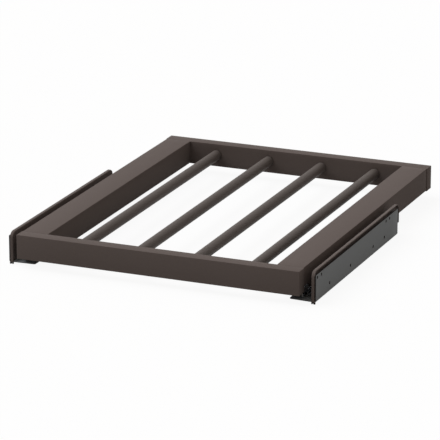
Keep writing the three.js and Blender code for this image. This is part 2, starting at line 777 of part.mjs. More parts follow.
// Blind rivet: flush in the channel's base, with a domed head under the ledge.
function rivet() {
  const shank = rivetDiameter / 2;
  const head = rivetHeadDiameter / 2;
  const headTop = plateBottomZ - seatGap;
  return turned([
    [0, headTop - rivetHeadHeight],
    [head / 2, headTop - rivetHeadHeight],
    [head, headTop - rivetHeadHeight / 3],
    [head, headTop],
    [shank, headTop],
    [shank, ledgeTopZ + cabinetBaseTop - rivetFlushDrop],
    [0, ledgeTopZ + cabinetBaseTop - rivetFlushDrop],
  ]);
}

function addRunners() {
  addPair('wall_bracket', wallBracket(), bracketColour, 0.5, 0.6);
  addPair('runner_cover', cover(), coverColour, 0.55, 0);
  addPair('cabinet_member', cabinetMember(), runnerColour, 0.4, 0.8);
  addPair('middle_member', middleMember(), runnerColour, 0.4, 0.8);
  addPair('rack_member', rackMember(), runnerColour, 0.4, 0.8);
  const outerCage = ballCage(outerBallOffset, outerBallLift, outerCageBottom, outerCageTop);
  const innerCage = ballCage(innerBallOffset, innerBallLift, innerCageBottom, innerCageTop);
  addPair('outer_ball_cage', outerCage, cageColour, 0.3, 0.9);
  addPair('inner_ball_cage', innerCage, cageColour, 0.3, 0.9);
  addPair('rear_bumper', bumper(), bumperColour, 0.8, 0);
}

function addFasteners() {
  screwShares.forEach((share, i) => {
    const screw = panScrew();
    screw.translate(slideCentreX, slideFrontY + share * movingLength, ledgeTopZ + rackPlateBottom - seatGap);
    addPair(`rack_screw_${i + 1}`, screw, zincColour, 0.35, 0.9);
  });
  const earScrew = panScrew();
  earScrew.rotateY(-Math.PI / 2);
  earScrew.translate(earOuterX + seatGap, earScrewY, earScrewZ);
  addPair('ear_screw', earScrew, bumperColour, 0.4, 0.6);
  rivetPlaces.forEach((y, i) => {
    const fastener = rivet();
    fastener.rotateX(Math.PI / 2);
    fastener.translate(slideCentreX, y, 0);
    addPair(`rivet_${i + 1}`, fastener, zincColour, 0.35, 0.9);
  });
}

addFrame();
addCornerJoints();
addRunners();
addFasteners();

export default rack;
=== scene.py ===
"""Looks of a pull out trouser rack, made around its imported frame.

Metres, in the frame's own axes: +X to the right, +Y to the wardrobe's back, +Z up. The lowest
point, under the covers' front legs, is at z = 0, and the footprint's middle at x = y = 0.
Every shape is an outline carried along an axis or turned about one, worked out as whole arrays.
"""

import json
import math

import bpy
import numpy as np
from mathutils import Euler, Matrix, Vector

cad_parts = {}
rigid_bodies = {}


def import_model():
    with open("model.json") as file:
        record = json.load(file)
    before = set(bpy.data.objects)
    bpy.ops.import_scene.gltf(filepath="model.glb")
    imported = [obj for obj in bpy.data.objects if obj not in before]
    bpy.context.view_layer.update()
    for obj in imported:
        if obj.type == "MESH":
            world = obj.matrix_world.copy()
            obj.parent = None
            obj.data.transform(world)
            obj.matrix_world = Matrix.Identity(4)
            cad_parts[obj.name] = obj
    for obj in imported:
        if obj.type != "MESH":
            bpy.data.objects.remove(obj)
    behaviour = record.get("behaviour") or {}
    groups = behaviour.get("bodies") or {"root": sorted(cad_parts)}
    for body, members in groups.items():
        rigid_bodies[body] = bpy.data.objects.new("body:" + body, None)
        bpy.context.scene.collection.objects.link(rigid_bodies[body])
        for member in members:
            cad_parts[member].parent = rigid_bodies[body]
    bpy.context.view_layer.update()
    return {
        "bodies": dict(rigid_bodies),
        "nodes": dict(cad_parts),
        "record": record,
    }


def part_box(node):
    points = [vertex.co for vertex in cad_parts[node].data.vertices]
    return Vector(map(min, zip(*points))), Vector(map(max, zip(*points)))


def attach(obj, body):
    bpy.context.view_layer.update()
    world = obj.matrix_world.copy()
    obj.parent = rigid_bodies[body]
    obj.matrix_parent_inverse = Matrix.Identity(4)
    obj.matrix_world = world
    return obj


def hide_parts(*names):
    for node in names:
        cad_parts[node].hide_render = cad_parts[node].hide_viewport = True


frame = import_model()

bl_info = {
    "name": "Trouser rack",
    "version": (1, 0, 0),
    "blender": (4, 5, 0),
    "location": "View3D > Sidebar > Trouser rack",
    "description": "Builds the boards, rods, brackets, covers and runners of a trouser rack",
    "category": "Object",
}

MM = 0.001
SIDES = ("right", "left")
ENDS = ("front", "rear")
SHARP_ANGLE = math.radians(38)
PLAY = 0.1 * MM  # between solids of the frame that lie against each other
JOIN = 1e-6  # distance below which two places count as one
STRAIGHT = 1e-6  # angle below which an outline doesn't turn
FACING_BACK, FACING_FRONT = 1, 3  # sides of a cross rail's outline
LOOKS_ALONG = 0.6  # least part of a face's normal along an axis that it looks along
BOARD_CELLS, SHEET_CELLS = 8, 6  # grid cells across the window about a bore, and a screw hole
SOCKET_MARGIN, LOCK_MARGIN, HOLE_MARGIN = 1.8 * MM, 0.15 * MM, 0.8 * MM  # of the windows
UPPER_HOLES = ((5.7 * MM, 20.7 * MM), (50 * MM, 35 * MM))  # from the plate's front, and its rear
LOWER_HOLES = (0.1605, 0.409, 0.687, 0.8285)  # shares of the plate's length
INNER_WALL = 6.1 * MM  # from a runner's middle to the outer faces of the rack member's walls
SENSOR_WIDTH, FAR_END = 36, 50  # of the camera, in mm and m


# ---------------------------------------------------------------- places taken from the frame


def box(node):
    """Lowest and highest corner of a CAD node, as arrays."""
    low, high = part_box(node)
    return np.array(low), np.array(high)


def centre(node):
    """Middle of a CAD node's box."""
    low, high = box(node)
    return (low + high) / 2


# ---------------------------------------------------------------- colours and properties


def linear(code):
    """An sRGB hex colour as linear red, green, blue and alpha: a value up to 0.04045 is divided by
    12.92, and a higher one becomes ((value + 0.055) / 1.055) ** 2.4."""
    srgb = np.array([int(code[i : i + 2], 16) for i in (1, 3, 5)]) / 255
    values = np.where(srgb <= 0.04045, srgb / 12.92, ((srgb + 0.055) / 1.055) ** 2.4)
    return (*values.tolist(), 1.0)


WHITE = linear("#ffffff")


def number(name, description, default, **rest):
    """A number property."""
    return bpy.props.FloatProperty(name=name, description=description, default=default, **rest)


def length(name, description, millimetres):
    """A length property, given in millimetres and kept in metres."""
    unit = {"min": 0.0, "precision": 5, "subtype": "DISTANCE", "unit": "LENGTH"}
    return number(name, description, millimetres * MM, **unit)


def angle(name, description, radians, **rest):
    """An angle property."""
    return number(name, description, radians, subtype="ANGLE", unit="ROTATION", **rest)


def numbers(name, description, default, **rest):
    """A property of several numbers."""
    about = {"name": name, "description": description, "size": len(default)}
    return bpy.props.FloatVectorProperty(default=default, **about, **rest)


def location(name, description, metres):
    """A property that is a place in the scene, in metres."""
    return numbers(name, description, metres, subtype="XYZ", unit="LENGTH")


def colour(name, description, code):
    """A colour property whose default is an sRGB hex value."""
    return numbers(name, description, linear(code), min=0.0, max=1.0, subtype="COLOR")


class BoardSizes(bpy.types.PropertyGroup):
    """Edges and bores of the four foil-covered boards."""

    edge_radius: length("Edge radius", "Rounding along a board's long edges", 0.55)
    end_radius: length("End radius", "Rounding about the cross rails' end faces", 0.45)
    joint_radius: length("Joint radius", "Rounding about the side rails' end faces", 0.25)
    lower_radius: length("Lower radius", "Rounding along the side rails' lower edges", 1.8)
    socket_chamfer: length("Socket chamfer", "Width of the chamfer at the mouth of a bore", 0.35)
    socket_gap: length("Socket gap", "Play between a bore and what sits in it", 0.12)
    socket_depth: length("Socket depth", "Depth of a rod's socket in a cross rail", 10.2)


class RodSizes(bpy.types.PropertyGroup):
    """Ends of the hanging rods."""

    wall: length("Wall", "Wall thickness of the tube", 1.2)
    end_radius: length("End radius", "Rounding of the tube's cut ends", 0.4)


class BracketSizes(bpy.types.PropertyGroup):
    """Bent sheet brackets with screw holes."""

    sheet: length("Sheet", "Thickness of the bracket's sheet", 1.4)
    bend_radius: length("Bend radius", "Outer radius of the bend between plate and ledge", 1.9)
    corner_radius: length("Ledge corner radius", "Round corners at the ledge's free edge", 3.0)
    top_corner_radius: length("Plate corner radius", "Round corners at the plate's top edge", 1.2)
    edge_radius: length("Edge radius", "Rounding of the sheet's cut edges", 0.25)
    hole_diameter: length("Hole diameter", "Diameter of the screw holes", 4.5)
    upper_holes: length("Upper holes", "Distance of the upper holes below the plate's top", 4.4)
    lower_holes: length("Lower holes", "Distance of the lower holes above the plate's bottom", 12.4)


class CoverSizes(bpy.types.PropertyGroup):
    """Moulded covers between plates and rack."""

    wall: length("Wall", "Thickness of the moulding's walls", 1.1)
    front_step: length("Front step", "How far the front wall stands back from the plate", 0.7)
    top_step: length("Top step", "How far the top wall's outer rim stands back from the plate", 0.4)
    corner_radius: length("Corner radius", "Round top corners at both ends", 9.0)
    edge_radius: length("Edge radius", "Rounding of the moulding's outer rim", 0.5)
    inner_radius: length("Inner radius", "Rounding of the moulding's rim towards the rack", 1.3)
    tip_gap: length("Tip gap", "Width of the gap between the leg's two tips", 1.6)
    tip_height: length("Tip height", "Height of the gap between the leg's two tips", 1.3)
    # The near black part of the tips is painted shade.
    tip_shade_height: length("Tip finish", "Height of the near black part of the leg's tips", 3.1)
    tip_reach: length("Tip reach", "How far the leg's outer tip reaches out below the plate", 0.6)
    leg_thickness: length("Leg thickness", "Thickness of the leg in front of the ledge", 2.4)
    notch_length: length("Notch length", "Length of the notch at the lower rear", 14.0)
    notch_height: length("Notch height", "Height of the notch at the lower rear", 14.1)


class RunnerSizes(bpy.types.PropertyGroup):
    """Rolled steel members, balls and cages."""

    sheet: length("Sheet", "Thickness of the outer and inner members", 1.0)
    middle_sheet: length("Middle sheet", "Thickness of the middle members", 0.8)
    ball_diameter: length("Ball diameter", "Diameter of the bearing balls", 2.4)
    ball_play: length("Ball play", "Play between a ball and its race", 0.05)
    cage_sheet: length("Cage sheet", "Thickness of the cages' strips", 0.35)
    edge_radius: length("Edge radius", "Rounding of the members' cut ends", 0.15)


class FinishColours(bpy.types.PropertyGroup):
    """Colours of the finishes."""

    frame_foil: colour("Frame foil", "Dark brown-grey foil on the boards", "#635a56")
    rod_coat: colour("Rod coat", "Powder coat on the hanging rods", "#5e5753")
    bracket_coat: colour("Bracket coat", "Grey powder coat on the wall brackets", "#808486")
    # Partly the bare cut edges, partly painted shade beside the plate's front.
    sheared_edge_and_shade: colour("Sheared edge", "Dark cut edges of the wall brackets", "#33302e")
    cover_plastic: colour("Cover plastic", "Dark brown-grey moulded plastic", "#625955")
    # Painted shade: near black that stands for the shade at the covers' feet.
    tip_painted_shade: colour("Cover tip", "Near black ends of the covers' legs", "#1d1918")
    zinc: colour("Zinc", "Bright zinc plate on fasteners", "#c6c8ca")
    runner_steel: colour("Runner steel", "Zinc plate on rolled steel strip", "#85878a")
    # Partly the bare steel of the cut ends, partly painted shade in the gaps where they sit.
    bare_cut_and_shade: colour("Bare cut", "Dull steel at the cut ends of the runner strip", "#4e4b48")
    cage_steel: colour("Cage steel", "Greased steel strip and balls", "#8c8f92")
    black_zinc: colour("Black zinc", "Black zinc plate on the ear screws", "#3a3836")
    beech: colour("Beech", "Bare beech of the dowels", "#c9a877")
    rubber: colour("Rubber", "Black rubber of the bumpers", "#232221")


class StageSettings(bpy.types.PropertyGroup):
    """Camera, light and floor."""

    focal_length: number(
        "Focal length", "Lens of the camera on a 36 mm sensor", 264.8, min=1.0, unit="CAMERA"
    )
    camera_place: location(
        "Camera place", "Where the camera stands", (1.71588, -4.15239, 1.44053)
    )
    camera_turn: angle("Camera turn", "Turn of the camera about the vertical", 0.395403)
    camera_drop: angle("Camera drop", "How far the camera looks down below the horizon", 0.306818)
    sky: number("Sky", "Strength of the even light from all round", 0.38, min=0.0)
    sky_colour: colour("Sky colour", "Slightly warm colour of the light from all round", "#fff3e9")
    key_strength: number("Key strength", "Strength of the broad light from above", 2.14, min=0.0)
    key_colour: colour("Key colour", "Slightly cool colour of the light from above", "#f7faff")
    key_spread: angle("Key spread", "Angle across which the key light is spread", 0.9, min=0.0)
    key_place: location("Key place", "A place that the key light shines from", (-0.7, -0.1, 1.0))
    floor_colour: colour("Floor colour", "Colour with which the floor lights the rack", "#aaaaaa")
    floor_shade: number(
        "Floor shade",
        "Share of the rack's shadow on the floor that is seen",
        0.08,
        min=0.0,
        max=1.0,
        subtype="FACTOR",
    )


# ---------------------------------------------------------------- outlines


def outline(corners, radii, steps=4, lines=None, closed=True):
    """An outline or an open path through corners, and where each side's own points are in it.

    A corner of radius r where the outline turns by an angle t becomes an arc that starts
    r * tan(t / 2) before the corner and ends as far behind it. lines[k] puts points on side k,
    at the given distances from corner k.
    """
    corners = np.asarray(corners, float)
    radii = np.broadcast_to(radii, len(corners))
    parts, places, count = [], {}, 0
    for k, corner in enumerate(corners):
        before = corner - corners[k - 1]
        after = corners[(k + 1) % len(corners)] - corner
        before, after = before / np.linalg.norm(before), after / np.linalg.norm(after)
        turn = math.atan2(before[0] * after[1] - before[1] * after[0], before @ after)
        inside = closed or 0 < k < len(corners) - 1
        if inside and radii[k] > 0 and abs(turn) > STRAIGHT:
            side = math.copysign(1, turn)
            inward = side * np.array([-before[1], before[0]])
            start = corner - before * radii[k] * math.tan(abs(turn) / 2)
            middle = start + inward * radii[k]
            angles = np.linspace(0, turn, steps + 1)
            turned_x = -inward[0] * np.cos(angles) + inward[1] * np.sin(angles)
            turned_y = -inward[0] * np.sin(angles) - inward[1] * np.cos(angles)
            arc = middle + radii[k] * np.stack([turned_x, turned_y], 1)
        else:
            arc = corner[None]
        parts.append(arc)
        count += len(arc)
        if lines and k in lines:
            parts.append(corner + np.asarray(lines[k])[:, None] * after)
            places[k] = np.arange(count, count + len(lines[k]))
            count += len(lines[k])
    return np.concatenate(parts), places


def outward(ring):
    """At each point of a closed anticlockwise outline, the step that moves both sides beside it
    outwards by one."""
    edges = np.roll(ring, -1, 0) - ring
    edges = edges / np.linalg.norm(edges, axis=1, keepdims=True)
    after = np.stack([edges[:, 1], -edges[:, 0]], 1)
    before = np.roll(after, 1, 0)
    return (before + after) / (1 + np.sum(before * after, 1, keepdims=True))


def strip(path, thickness):
    """The closed outline of a strip about a centre line: half its thickness to each side, at right
    angles to the line, turned anticlockwise."""
    along = np.gradient(path, axis=0)
    along = along / np.linalg.norm(along, axis=1, keepdims=True)
    half = np.stack([along[:, 1], -along[:, 0]], 1) * thickness / 2
    return np.concatenate([path + half, (path - half)[::-1]])


def window_lines(centres, half, cells):
    """Grid lines of the square windows about some centres, spaced by the tangent of even angles so
    that the round holes inside them get evenly spaced points."""
    fan = half * np.tan(np.linspace(-math.pi / 4, math.pi / 4, cells + 1))
    return (np.asarray(centres, float)[:, None] + fan).ravel()


def rectangle(low, high):
    """The four corners between two opposite ones, anticlockwise from the lower."""
    return [(low[0], low[1]), (high[0], low[1]), (high[0], high[1]), (low[0], high[1])]


def rising(*values):
    """All the given numbers in rising order, once each."""
    joined = np.sort(np.concatenate([np.atleast_1d(v) for v in values]))
    return joined[np.concatenate([[True], np.diff(joined) > JOIN])]


def inset_rings(ring, insets):
    """The outline once for each inset, moved inwards by it."""
    return ring[None] - np.asarray(insets)[:, None, None] * outward(ring)[None]


def rounded_ends(start, end, radius, inner=(), steps=3):
    """Stations from start to end and the inset at each, so that both ends are rounded: at an angle
    a of the quarter circle the station is r * (1 - cos a) from the end, the inset
    r * (1 - sin a)."""
    angles = np.linspace(0, math.pi / 2, steps + 1)
    near, inset = radius * (1 - np.cos(angles)), radius * (1 - np.sin(angles))
    inner = np.asarray(inner, float)
    inner = inner[(inner > start + radius + JOIN) & (inner < end - radius - JOIN)]
    stations = np.concatenate([start + near, inner, end - near[::-1]])
    return stations, np.concatenate([inset, np.zeros(len(inner)), inset[::-1]])


# ---------------------------------------------------------------- solids


def grid_faces(index, closed=True, flipped=False):
    """The four-sided faces of a grid of point numbers, whose rows are closed rings or open."""
    after = np.roll(index, -1, 1) if closed else index[:, 1:]
    here = index if closed else index[:, :-1]
    faces = np.stack([here[:-1], after[:-1], after[1:], here[1:]], -1)
    return faces[..., ::-1] if flipped else faces


class Bar:
    """Rings of points carried along X (rings in Y and Z) or along Y (rings in X and Z).

    Ring s lies at the distance of station s, plus shift(s, i) for its point i where the ends
    aren't square. The rings run anticlockwise, as seen in a drawing with X or Y to the right.
    """

    def __init__(self, rings, axis, stations, shift=0.0):
        self.across = {"X": (1, 2, 0), "Y": (0, 2, 1)}[axis]
        self.rings, self.stations = rings, np.asarray(stations, float)
        points = np.empty((*rings.shape[:2], 3))
        points[..., self.across[0]] = rings[..., 0]
        points[..., self.across[1]] = rings[..., 1]
        points[..., self.across[2]] = self.stations[:, None] + shift
        self.points = [points.reshape(-1, 3)]
        self.count = points.size // 3
        self.index = np.arange(self.count).reshape(rings.shape[:2])
        self.faces = grid_faces(self.index, flipped=axis == "Y")
        self.kept = np.ones(self.faces.shape[:2], bool)
        self.more = []
        first, last = self.index[0], self.index[-1]
        self.ends = [first, last[::-1]] if axis == "Y" else [first[::-1], last]

    def row(self, place):
        """The station nearest to a distance along the bar."""
        return int(np.argmin(np.abs(self.stations - place)))

    def window(self, columns, rows):
        """Takes the faces of a window out of the bar and gives its edge as a loop of point numbers,
        which starts at its lowest distance across and runs alike on both sides of a sheet."""
        low, high = sorted(columns)
        self.kept[rows[0] : rows[1], low:high] = False
        patch = self.index[rows[0] : rows[1] + 1, low : high + 1]
        if columns[0] > columns[1]:
            patch = patch[:, ::-1]
        return np.concatenate([patch[0, :-1], patch[:-1, -1], patch[-1, :0:-1], patch[:0:-1, 0]])

    def drill(self, columns, half, middle, steps, leave=None):
        """A round hole in a window of half a width: rings of points about its middle, of the given
        radii and depths, in the directions of the window's own edge points, closed by a flat bottom
        or by the window on the sheet's other side."""
        place = middle[self.across[2]]
        rows = self.row(place - half), self.row(place + half)
        loop = self.window(columns, rows)
        edge = np.concatenate(self.points)[loop]
        arms = edge - middle
        face = np.cross(arms, np.roll(arms, -1, 0)).sum(0)
        face = face / np.linalg.norm(face)
        normal = np.zeros(3)
        normal[list(self.across[:2])] = outward(self.rings[rows[0]])[min(columns) + 1]
        if face @ normal < 0:
            loop, arms = loop[::-1], arms[::-1]
        arms = arms - np.outer(arms @ normal, normal)
        arms = arms / np.linalg.norm(arms, axis=1, keepdims=True)
        loops = [loop]
        for radius, depth in steps:
            self.points.append(middle + arms * radius - normal * depth)
            loops.append(np.arange(self.count, self.count + len(loop)))
            self.count += len(loop)
        if leave is not None:
            far = self.window(leave, rows)
            loops.append(far[::-1] if face @ normal < 0 else far)
        for a, b in zip(loops, loops[1:]):
            self.more += np.stack([a, np.roll(a, -1), np.roll(b, -1), b], 1).tolist()
        if leave is None:
            self.more.append(loops[-1].tolist())

    def solid(self):
        """All points and faces, with the points that lie in one place joined."""
        more = self.more + [end.tolist() for end in self.ends]
        return weld(np.concatenate(self.points), self.faces[self.kept], more)


def rounded_bar(ring, axis, start, end, radius, inner=(), steps=3):
    """A bar of one outline whose ends are rounded."""
    stations, insets = rounded_ends(start, end, radius, inner, steps)
    return Bar(inset_rings(ring, insets), axis, stations)


def turned(profile, axis, middle, sides=32):
    """Points and faces of a profile of radius and distance turned about an axis through middle:
    each point lies at (radius cos t, radius sin t) across the axis. A radius of nought is one
    point."""
    profile = np.asarray(profile, float)
    angles = np.linspace(0, 2 * math.pi, sides, endpoint=False)
    across = {"X": (1, 2, 0), "Y": (2, 0, 1), "Z": (0, 1, 2)}[axis]
    points = np.empty((len(profile), sides, 3))
    points[..., across[0]] = profile[:, :1] * np.cos(angles)
    points[..., across[1]] = profile[:, :1] * np.sin(angles)
    points[..., across[2]] = profile[:, 1:]
    index = np.arange(points.size // 3).reshape(len(profile), sides)
    return weld(points.reshape(-1, 3) + middle, grid_faces(index).reshape(-1, 4))


def weld(points, faces, more=()):
    """Joins points that lie in one place, and drops the faces that this leaves without an area.
    faces are four-sided, in an array; more are faces of any number of sides."""
    places = np.round(points, 8)  # to a hundredth of a micrometre
    _, first, joined = np.unique(places, axis=0, return_index=True, return_inverse=True)
    joined = joined.reshape(-1)
    faces = joined[faces]
    same = faces == np.roll(faces, -1, 1)
    whole = faces[~same.any(1)].tolist()
    once = same.sum(1) == 1
    whole += faces[once][~same[once]].reshape(-1, 3).tolist()
    for face in more:
        corners = joined[face]
        corners = corners[corners != np.roll(corners, -1)]
        if len(corners) > 2:
            whole.append(corners.tolist())
    return points[first], whole


def together(*solids):
    """Several solids as one list of points and one list of faces."""
    points, faces, count = [], [], 0
    for some_points, some_faces in solids:
        points.append(some_points)
        faces += [[corner + count for corner in face] for face in some_faces]
        count += len(some_points)
    return np.concatenate(points), faces


def mirrored(solid):
    """The mirror image across x = 0, with its faces turned outwards again."""
    points, faces = solid
    return points * (-1, 1, 1), [face[::-1] for face in faces]


def add_object(name, data):
    """A new object, untransformed, in the scene's own collection."""
    new = bpy.data.objects.new(name, data)
    bpy.context.scene.collection.objects.link(new)
    return new


def add_piece(name, solid, body, material, slot, *nodes):
    """Makes a solid an object that rides on a body and stands for CAD nodes."""
    points, faces = solid
    mesh = bpy.data.meshes.new(name)
    mesh.from_pydata(points.tolist(), [], faces)
    mesh.polygons.foreach_set("use_smooth", np.ones(len(mesh.polygons), bool))
    mesh.set_sharp_from_angle(angle=SHARP_ANGLE)
    mesh.materials.append(material)
    mesh.validate()
    piece = add_object(name, mesh)
    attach(piece, body)
    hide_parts(*nodes)
    return piece


def add_pair(name, solid, body, material, slot, *nodes):
    """A right-hand solid and its mirror image. A body or node name ends in the side's name."""
    pieces = []
    for side in SIDES:
        own = solid if side == "right" else mirrored(solid)
        rides_on = body if body in frame["bodies"] else f"{body}_{side}"
        stands_for = [f"{node}_{side}" for node in nodes]
        pieces.append(add_piece(f"{name}_{side}", own, rides_on, material, slot, *stands_for))
    return pieces


# ---------------------------------------------------------------- materials


def blank(owner):
    """Gives a material or world an empty node tree."""
    owner.use_nodes = True
    owner.node_tree.nodes.clear()
    return owner


def add_node(owner, kind, settings=None, **links):
    """Adds a node to a material or world. settings holds its properties, and its inputs by name;
    each link gives an input, by its name or by n and its number, the output of another node."""
    tree = owner.node_tree
    node = tree.nodes.new(kind)
    for key, value in (settings or {}).items():
        if hasattr(node, key):
            setattr(node, key, value)
        else:
            node.inputs[key].default_value = value
    for key, output in links.items():
        name = int(key[1:]) if key[1:].isdigit() else key
        tree.links.new(output, node.inputs[name])
    return node


SPECKLE = "ShaderNodeTexNoise", "Fac"
PITS = "ShaderNodeTexVoronoi", "Distance"


def patterned(name, base, surface, pattern, texture, cell, shades, roughness=None, bump=None):
    """A material whose finish follows one pattern in Object coordinates.

    surface: the shader's own constants. pattern: the texture's node and output. texture: settings
    of the texture. cell: its size in millimetres, as one number or one for each axis. shades: where
    the pattern is darkest and where lightest, and by what share of the base colour. roughness:
    lowest and highest value. bump: depth in millimetres, and strength.
    """
    material = blank(bpy.data.materials.new(name))
    settings = {"Base Color": tuple(base), **surface}
    shader = add_node(material, "ShaderNodeBsdfPrincipled", settings)
    end = add_node(material, "ShaderNodeOutputMaterial", Surface=shader.outputs["BSDF"])
    end.is_active_output = True
    place = add_node(material, "ShaderNodeTexCoord").outputs["Object"]
    # One unit is one cell of the pattern.
    scale = (1 / (np.broadcast_to(cell, 3) * MM)).tolist()
    cells = add_node(material, "ShaderNodeMapping", {"Scale": scale}, Vector=place)
    kind, output = pattern
    settings = {"Scale": 1.0, **texture}
    height = add_node(material, kind, settings, Vector=cells.outputs["Vector"]).outputs[output]

    darkest, lightest, share = shades
    ramp = add_node(material, "ShaderNodeValToRGB", Fac=height)
    stops = zip(ramp.color_ramp.elements, (darkest, lightest), (1 - share, 1 + share))
    for stop, position, factor in stops:
        stop.position = position
        stop.color = (*[min(1.0, value * factor) for value in base[:3]], 1.0)
    results = {"Base Color": ramp.outputs["Color"]}
    if roughness:
        settings = dict(zip(("To Min", "To Max"), roughness))
        spread = add_node(material, "ShaderNodeMapRange", settings, Value=height)
        results["Roughness"] = spread.outputs["Result"]
    if bump:
        depth, strength = bump
        settings = {"Strength": strength, "Distance": depth * MM}
        raised = add_node(material, "ShaderNodeBump", settings, Height=height)
        results["Normal"] = raised.outputs["Normal"]
    for socket, result in results.items():
        material.node_tree.links.new(result, shader.inputs[socket])
    return material


def frame_foil(colours):
    """Melamine-resin foil on board: a satin, even brown-grey that shows only faint clouding and a
    fine closed print grain."""
    surface = {"Roughness": 0.7, "IOR": 1.5, "Specular IOR Level": 0.07}
    # The real grain is about 0.3 mm; it is drawn at 2.4 mm, so that it shows.
    return patterned(
        "melamine_foil_satin",
        colours.frame_foil,
        surface,
        SPECKLE,
        {"Detail": 4.0, "Roughness": 0.6},
        cell=2.4,
        shades=(0.3, 0.7, 0.035),
        roughness=(0.66, 0.76),
        bump=(0.03, 0.5),
    )


def rod_coat(colours):
    """Polyester powder coat on steel tube: satin with a fine orange peel, which breaks up the long
    highlight along the rod."""
    surface = {"Roughness": 0.55, "IOR": 1.5, "Specular IOR Level": 0.1}
    # Orange peel of about 1 mm, drawn at 1.8 mm.
    return patterned(
        "powder_coat_brown_grey",
        colours.rod_coat,
        surface,
        SPECKLE,
        {"Detail": 3.0, "Roughness": 0.55},
        cell=1.8,
        shades=(0.3, 0.7, 0.05),
        roughness=(0.5, 0.62),
        bump=(0.04, 0.6),
    )


def bracket_coat(colours):
    """Grey powder coat on bent sheet: matt, with a fine sandy texture."""
    surface = {"Roughness": 0.65, "IOR": 1.5, "Specular IOR Level": 0.1}
    # Sandy texture of about 0.5 mm, drawn at 1.6 mm.
    return patterned(
        "powder_coat_grey",
        colours.bracket_coat,
        surface,
        SPECKLE,
        {"Detail": 5.0, "Roughness": 0.65},
        cell=1.6,
        shades=(0.3, 0.7, 0.03),
        roughness=(0.6, 0.72),
        bump=(0.03, 0.5),
    )


def sheared_edge_and_shade(colours):
    """Sheared and drilled edges of the bracket's plate: the coat pulls away from them, so they show
    as thin dark lines, streaked across the sheet. The darkness is partly painted shade, standing
    for the shaded groove beside the plate's front."""
    surface = {"Roughness": 0.7, "IOR": 1.5, "Specular IOR Level": 0.1}
    # Shear marks about 1 mm apart, which run across the sheet.
    return patterned(
        "steel_edge_sheared_and_shade",
        colours.sheared_edge_and_shade,
        surface,
        SPECKLE,
        {"Detail": 3.0, "Roughness": 0.6},
        cell=(4.0, 1.0, 1.0),
        shades=(0.3, 0.7, 0.15),
        roughness=(0.6, 0.8),
    )


def cover_plastic(colours):
    """ABS moulded in a spark-eroded tool: matt, with an even fine grain all over."""
    surface = {"Roughness": 0.62, "IOR": 1.53, "Specular IOR Level": 0.1}
    # Spark-eroded grain of about 0.2 mm, drawn at 1.2 mm.
    return patterned(
        "abs_moulded_grain",
        colours.cover_plastic,
        surface,
        PITS,
        {"feature": "F1"},
        cell=1.2,
        shades=(0.1, 0.9, 0.03),
        bump=(0.02, 0.5),
    )


def tip_painted_shade(colours):
    """Ends of the covers' legs in near black, smoother plastic: painted shade, standing for the
    shade at the legs' feet.
    """
    surface = {"Roughness": 0.5, "IOR": 1.53, "Specular IOR Level": 0.1}
    # Mottle of about 1.5 mm in the painted shade.
    return patterned(
        "abs_tip_painted_shade",
        colours.tip_painted_shade,
        surface,
        SPECKLE,
        {"Detail": 2.0},
        cell=1.5,
        shades=(0.3, 0.7, 0.1),
        roughness=(0.42, 0.58),
    )


def zinc_plate(colours):
    """Bright zinc plate on turned and cold-headed steel: silvery, with a slight clouding from
    passivation."""
    surface = {"Roughness": 0.32, "Metallic": 1.0}
    # Clouds of about 3 mm.
    return patterned(
        "zinc_plate_bright",
        colours.zinc,
        surface,
        SPECKLE,
        {"Detail": 3.0},
        cell=3.0,
        shades=(0.3, 0.7, 0.06),
        roughness=(0.27, 0.4),
    )


def rolled_strip(name, base, roughness, streak):
    """Rolled steel strip with fine streaks along the runner, which spread its highlight across."""
    surface = {"Roughness": roughness, "Metallic": 1.0}
    spread = (roughness - 0.07, roughness + 0.07)
    # Rolling marks of about 0.1 mm, drawn 0.6 mm wide and 60 mm long.
    return patterned(
        name,
        base,
        surface,
        SPECKLE,
        {"Detail": 4.0, "Roughness": 0.7},
        cell=(0.6, 60.0, 0.6),
        shades=(0.3, 0.7, streak),
        roughness=spread,
        bump=(0.02, 0.4),
    )


def runner_steel(colours):
    """Zinc-plated strip of the runner members: dull silver with fine rolling marks."""
    return rolled_strip("zinc_plated_strip", colours.runner_steel, 0.42, 0.07)


def bare_cut_and_shade(colours):
    """Cut ends of the strip: bare, dull steel, made dark enough to stand also for the shade in the
    gaps where the ends sit, so partly painted shade.
    """
    return rolled_strip("steel_cut_bare_and_shade", colours.bare_cut_and_shade, 0.55, 0.1)


def cage_steel(colours):
    """Bright strip and balls under grease: darker than the zinc, and smoother."""
    return rolled_strip("greased_steel", colours.cage_steel, 0.26, 0.04)


def black_zinc(colours):
    """Black passivated zinc plate: near black with a dull metal sheen."""
    surface = {"Roughness": 0.4, "Metallic": 0.7}
    # Clouds of about 1.5 mm.
    return patterned(
        "zinc_plate_black",
        colours.black_zinc,
        surface,
        SPECKLE,
        {"Detail": 3.0},
        cell=1.5,
        shades=(0.3, 0.7, 0.12),
        roughness=(0.34, 0.48),
    )


def bare_beech(colours):
    """Bare turned beech: pale, with short dark flecks along the grain."""
    surface = {"Roughness": 0.65, "IOR": 1.5}
    # Flecks of about 0.5 by 3 mm, drawn at 0.9 by 7 mm.
    return patterned(
        "beech_bare",
        colours.beech,
        surface,
        SPECKLE,
        {"Detail": 5.0, "Roughness": 0.7},
        cell=(0.9, 7.0, 0.9),
        shades=(0.35, 0.65, 0.14),
        bump=(0.05, 0.6),
    )


def bumper_rubber(colours):
    """Moulded rubber: near black and dull, with a soft mottle."""
    surface = {"Roughness": 0.78, "IOR": 1.52}
    # Mottle of about 1.5 mm.
    return patterned(
        "rubber_black",
        colours.rubber,
        surface,
        SPECKLE,
        {"Detail": 3.0},
        cell=1.5,
        shades=(0.3, 0.7, 0.15),
        bump=(0.03, 0.5),
    )


# ---------------------------------------------------------------- boards and rods


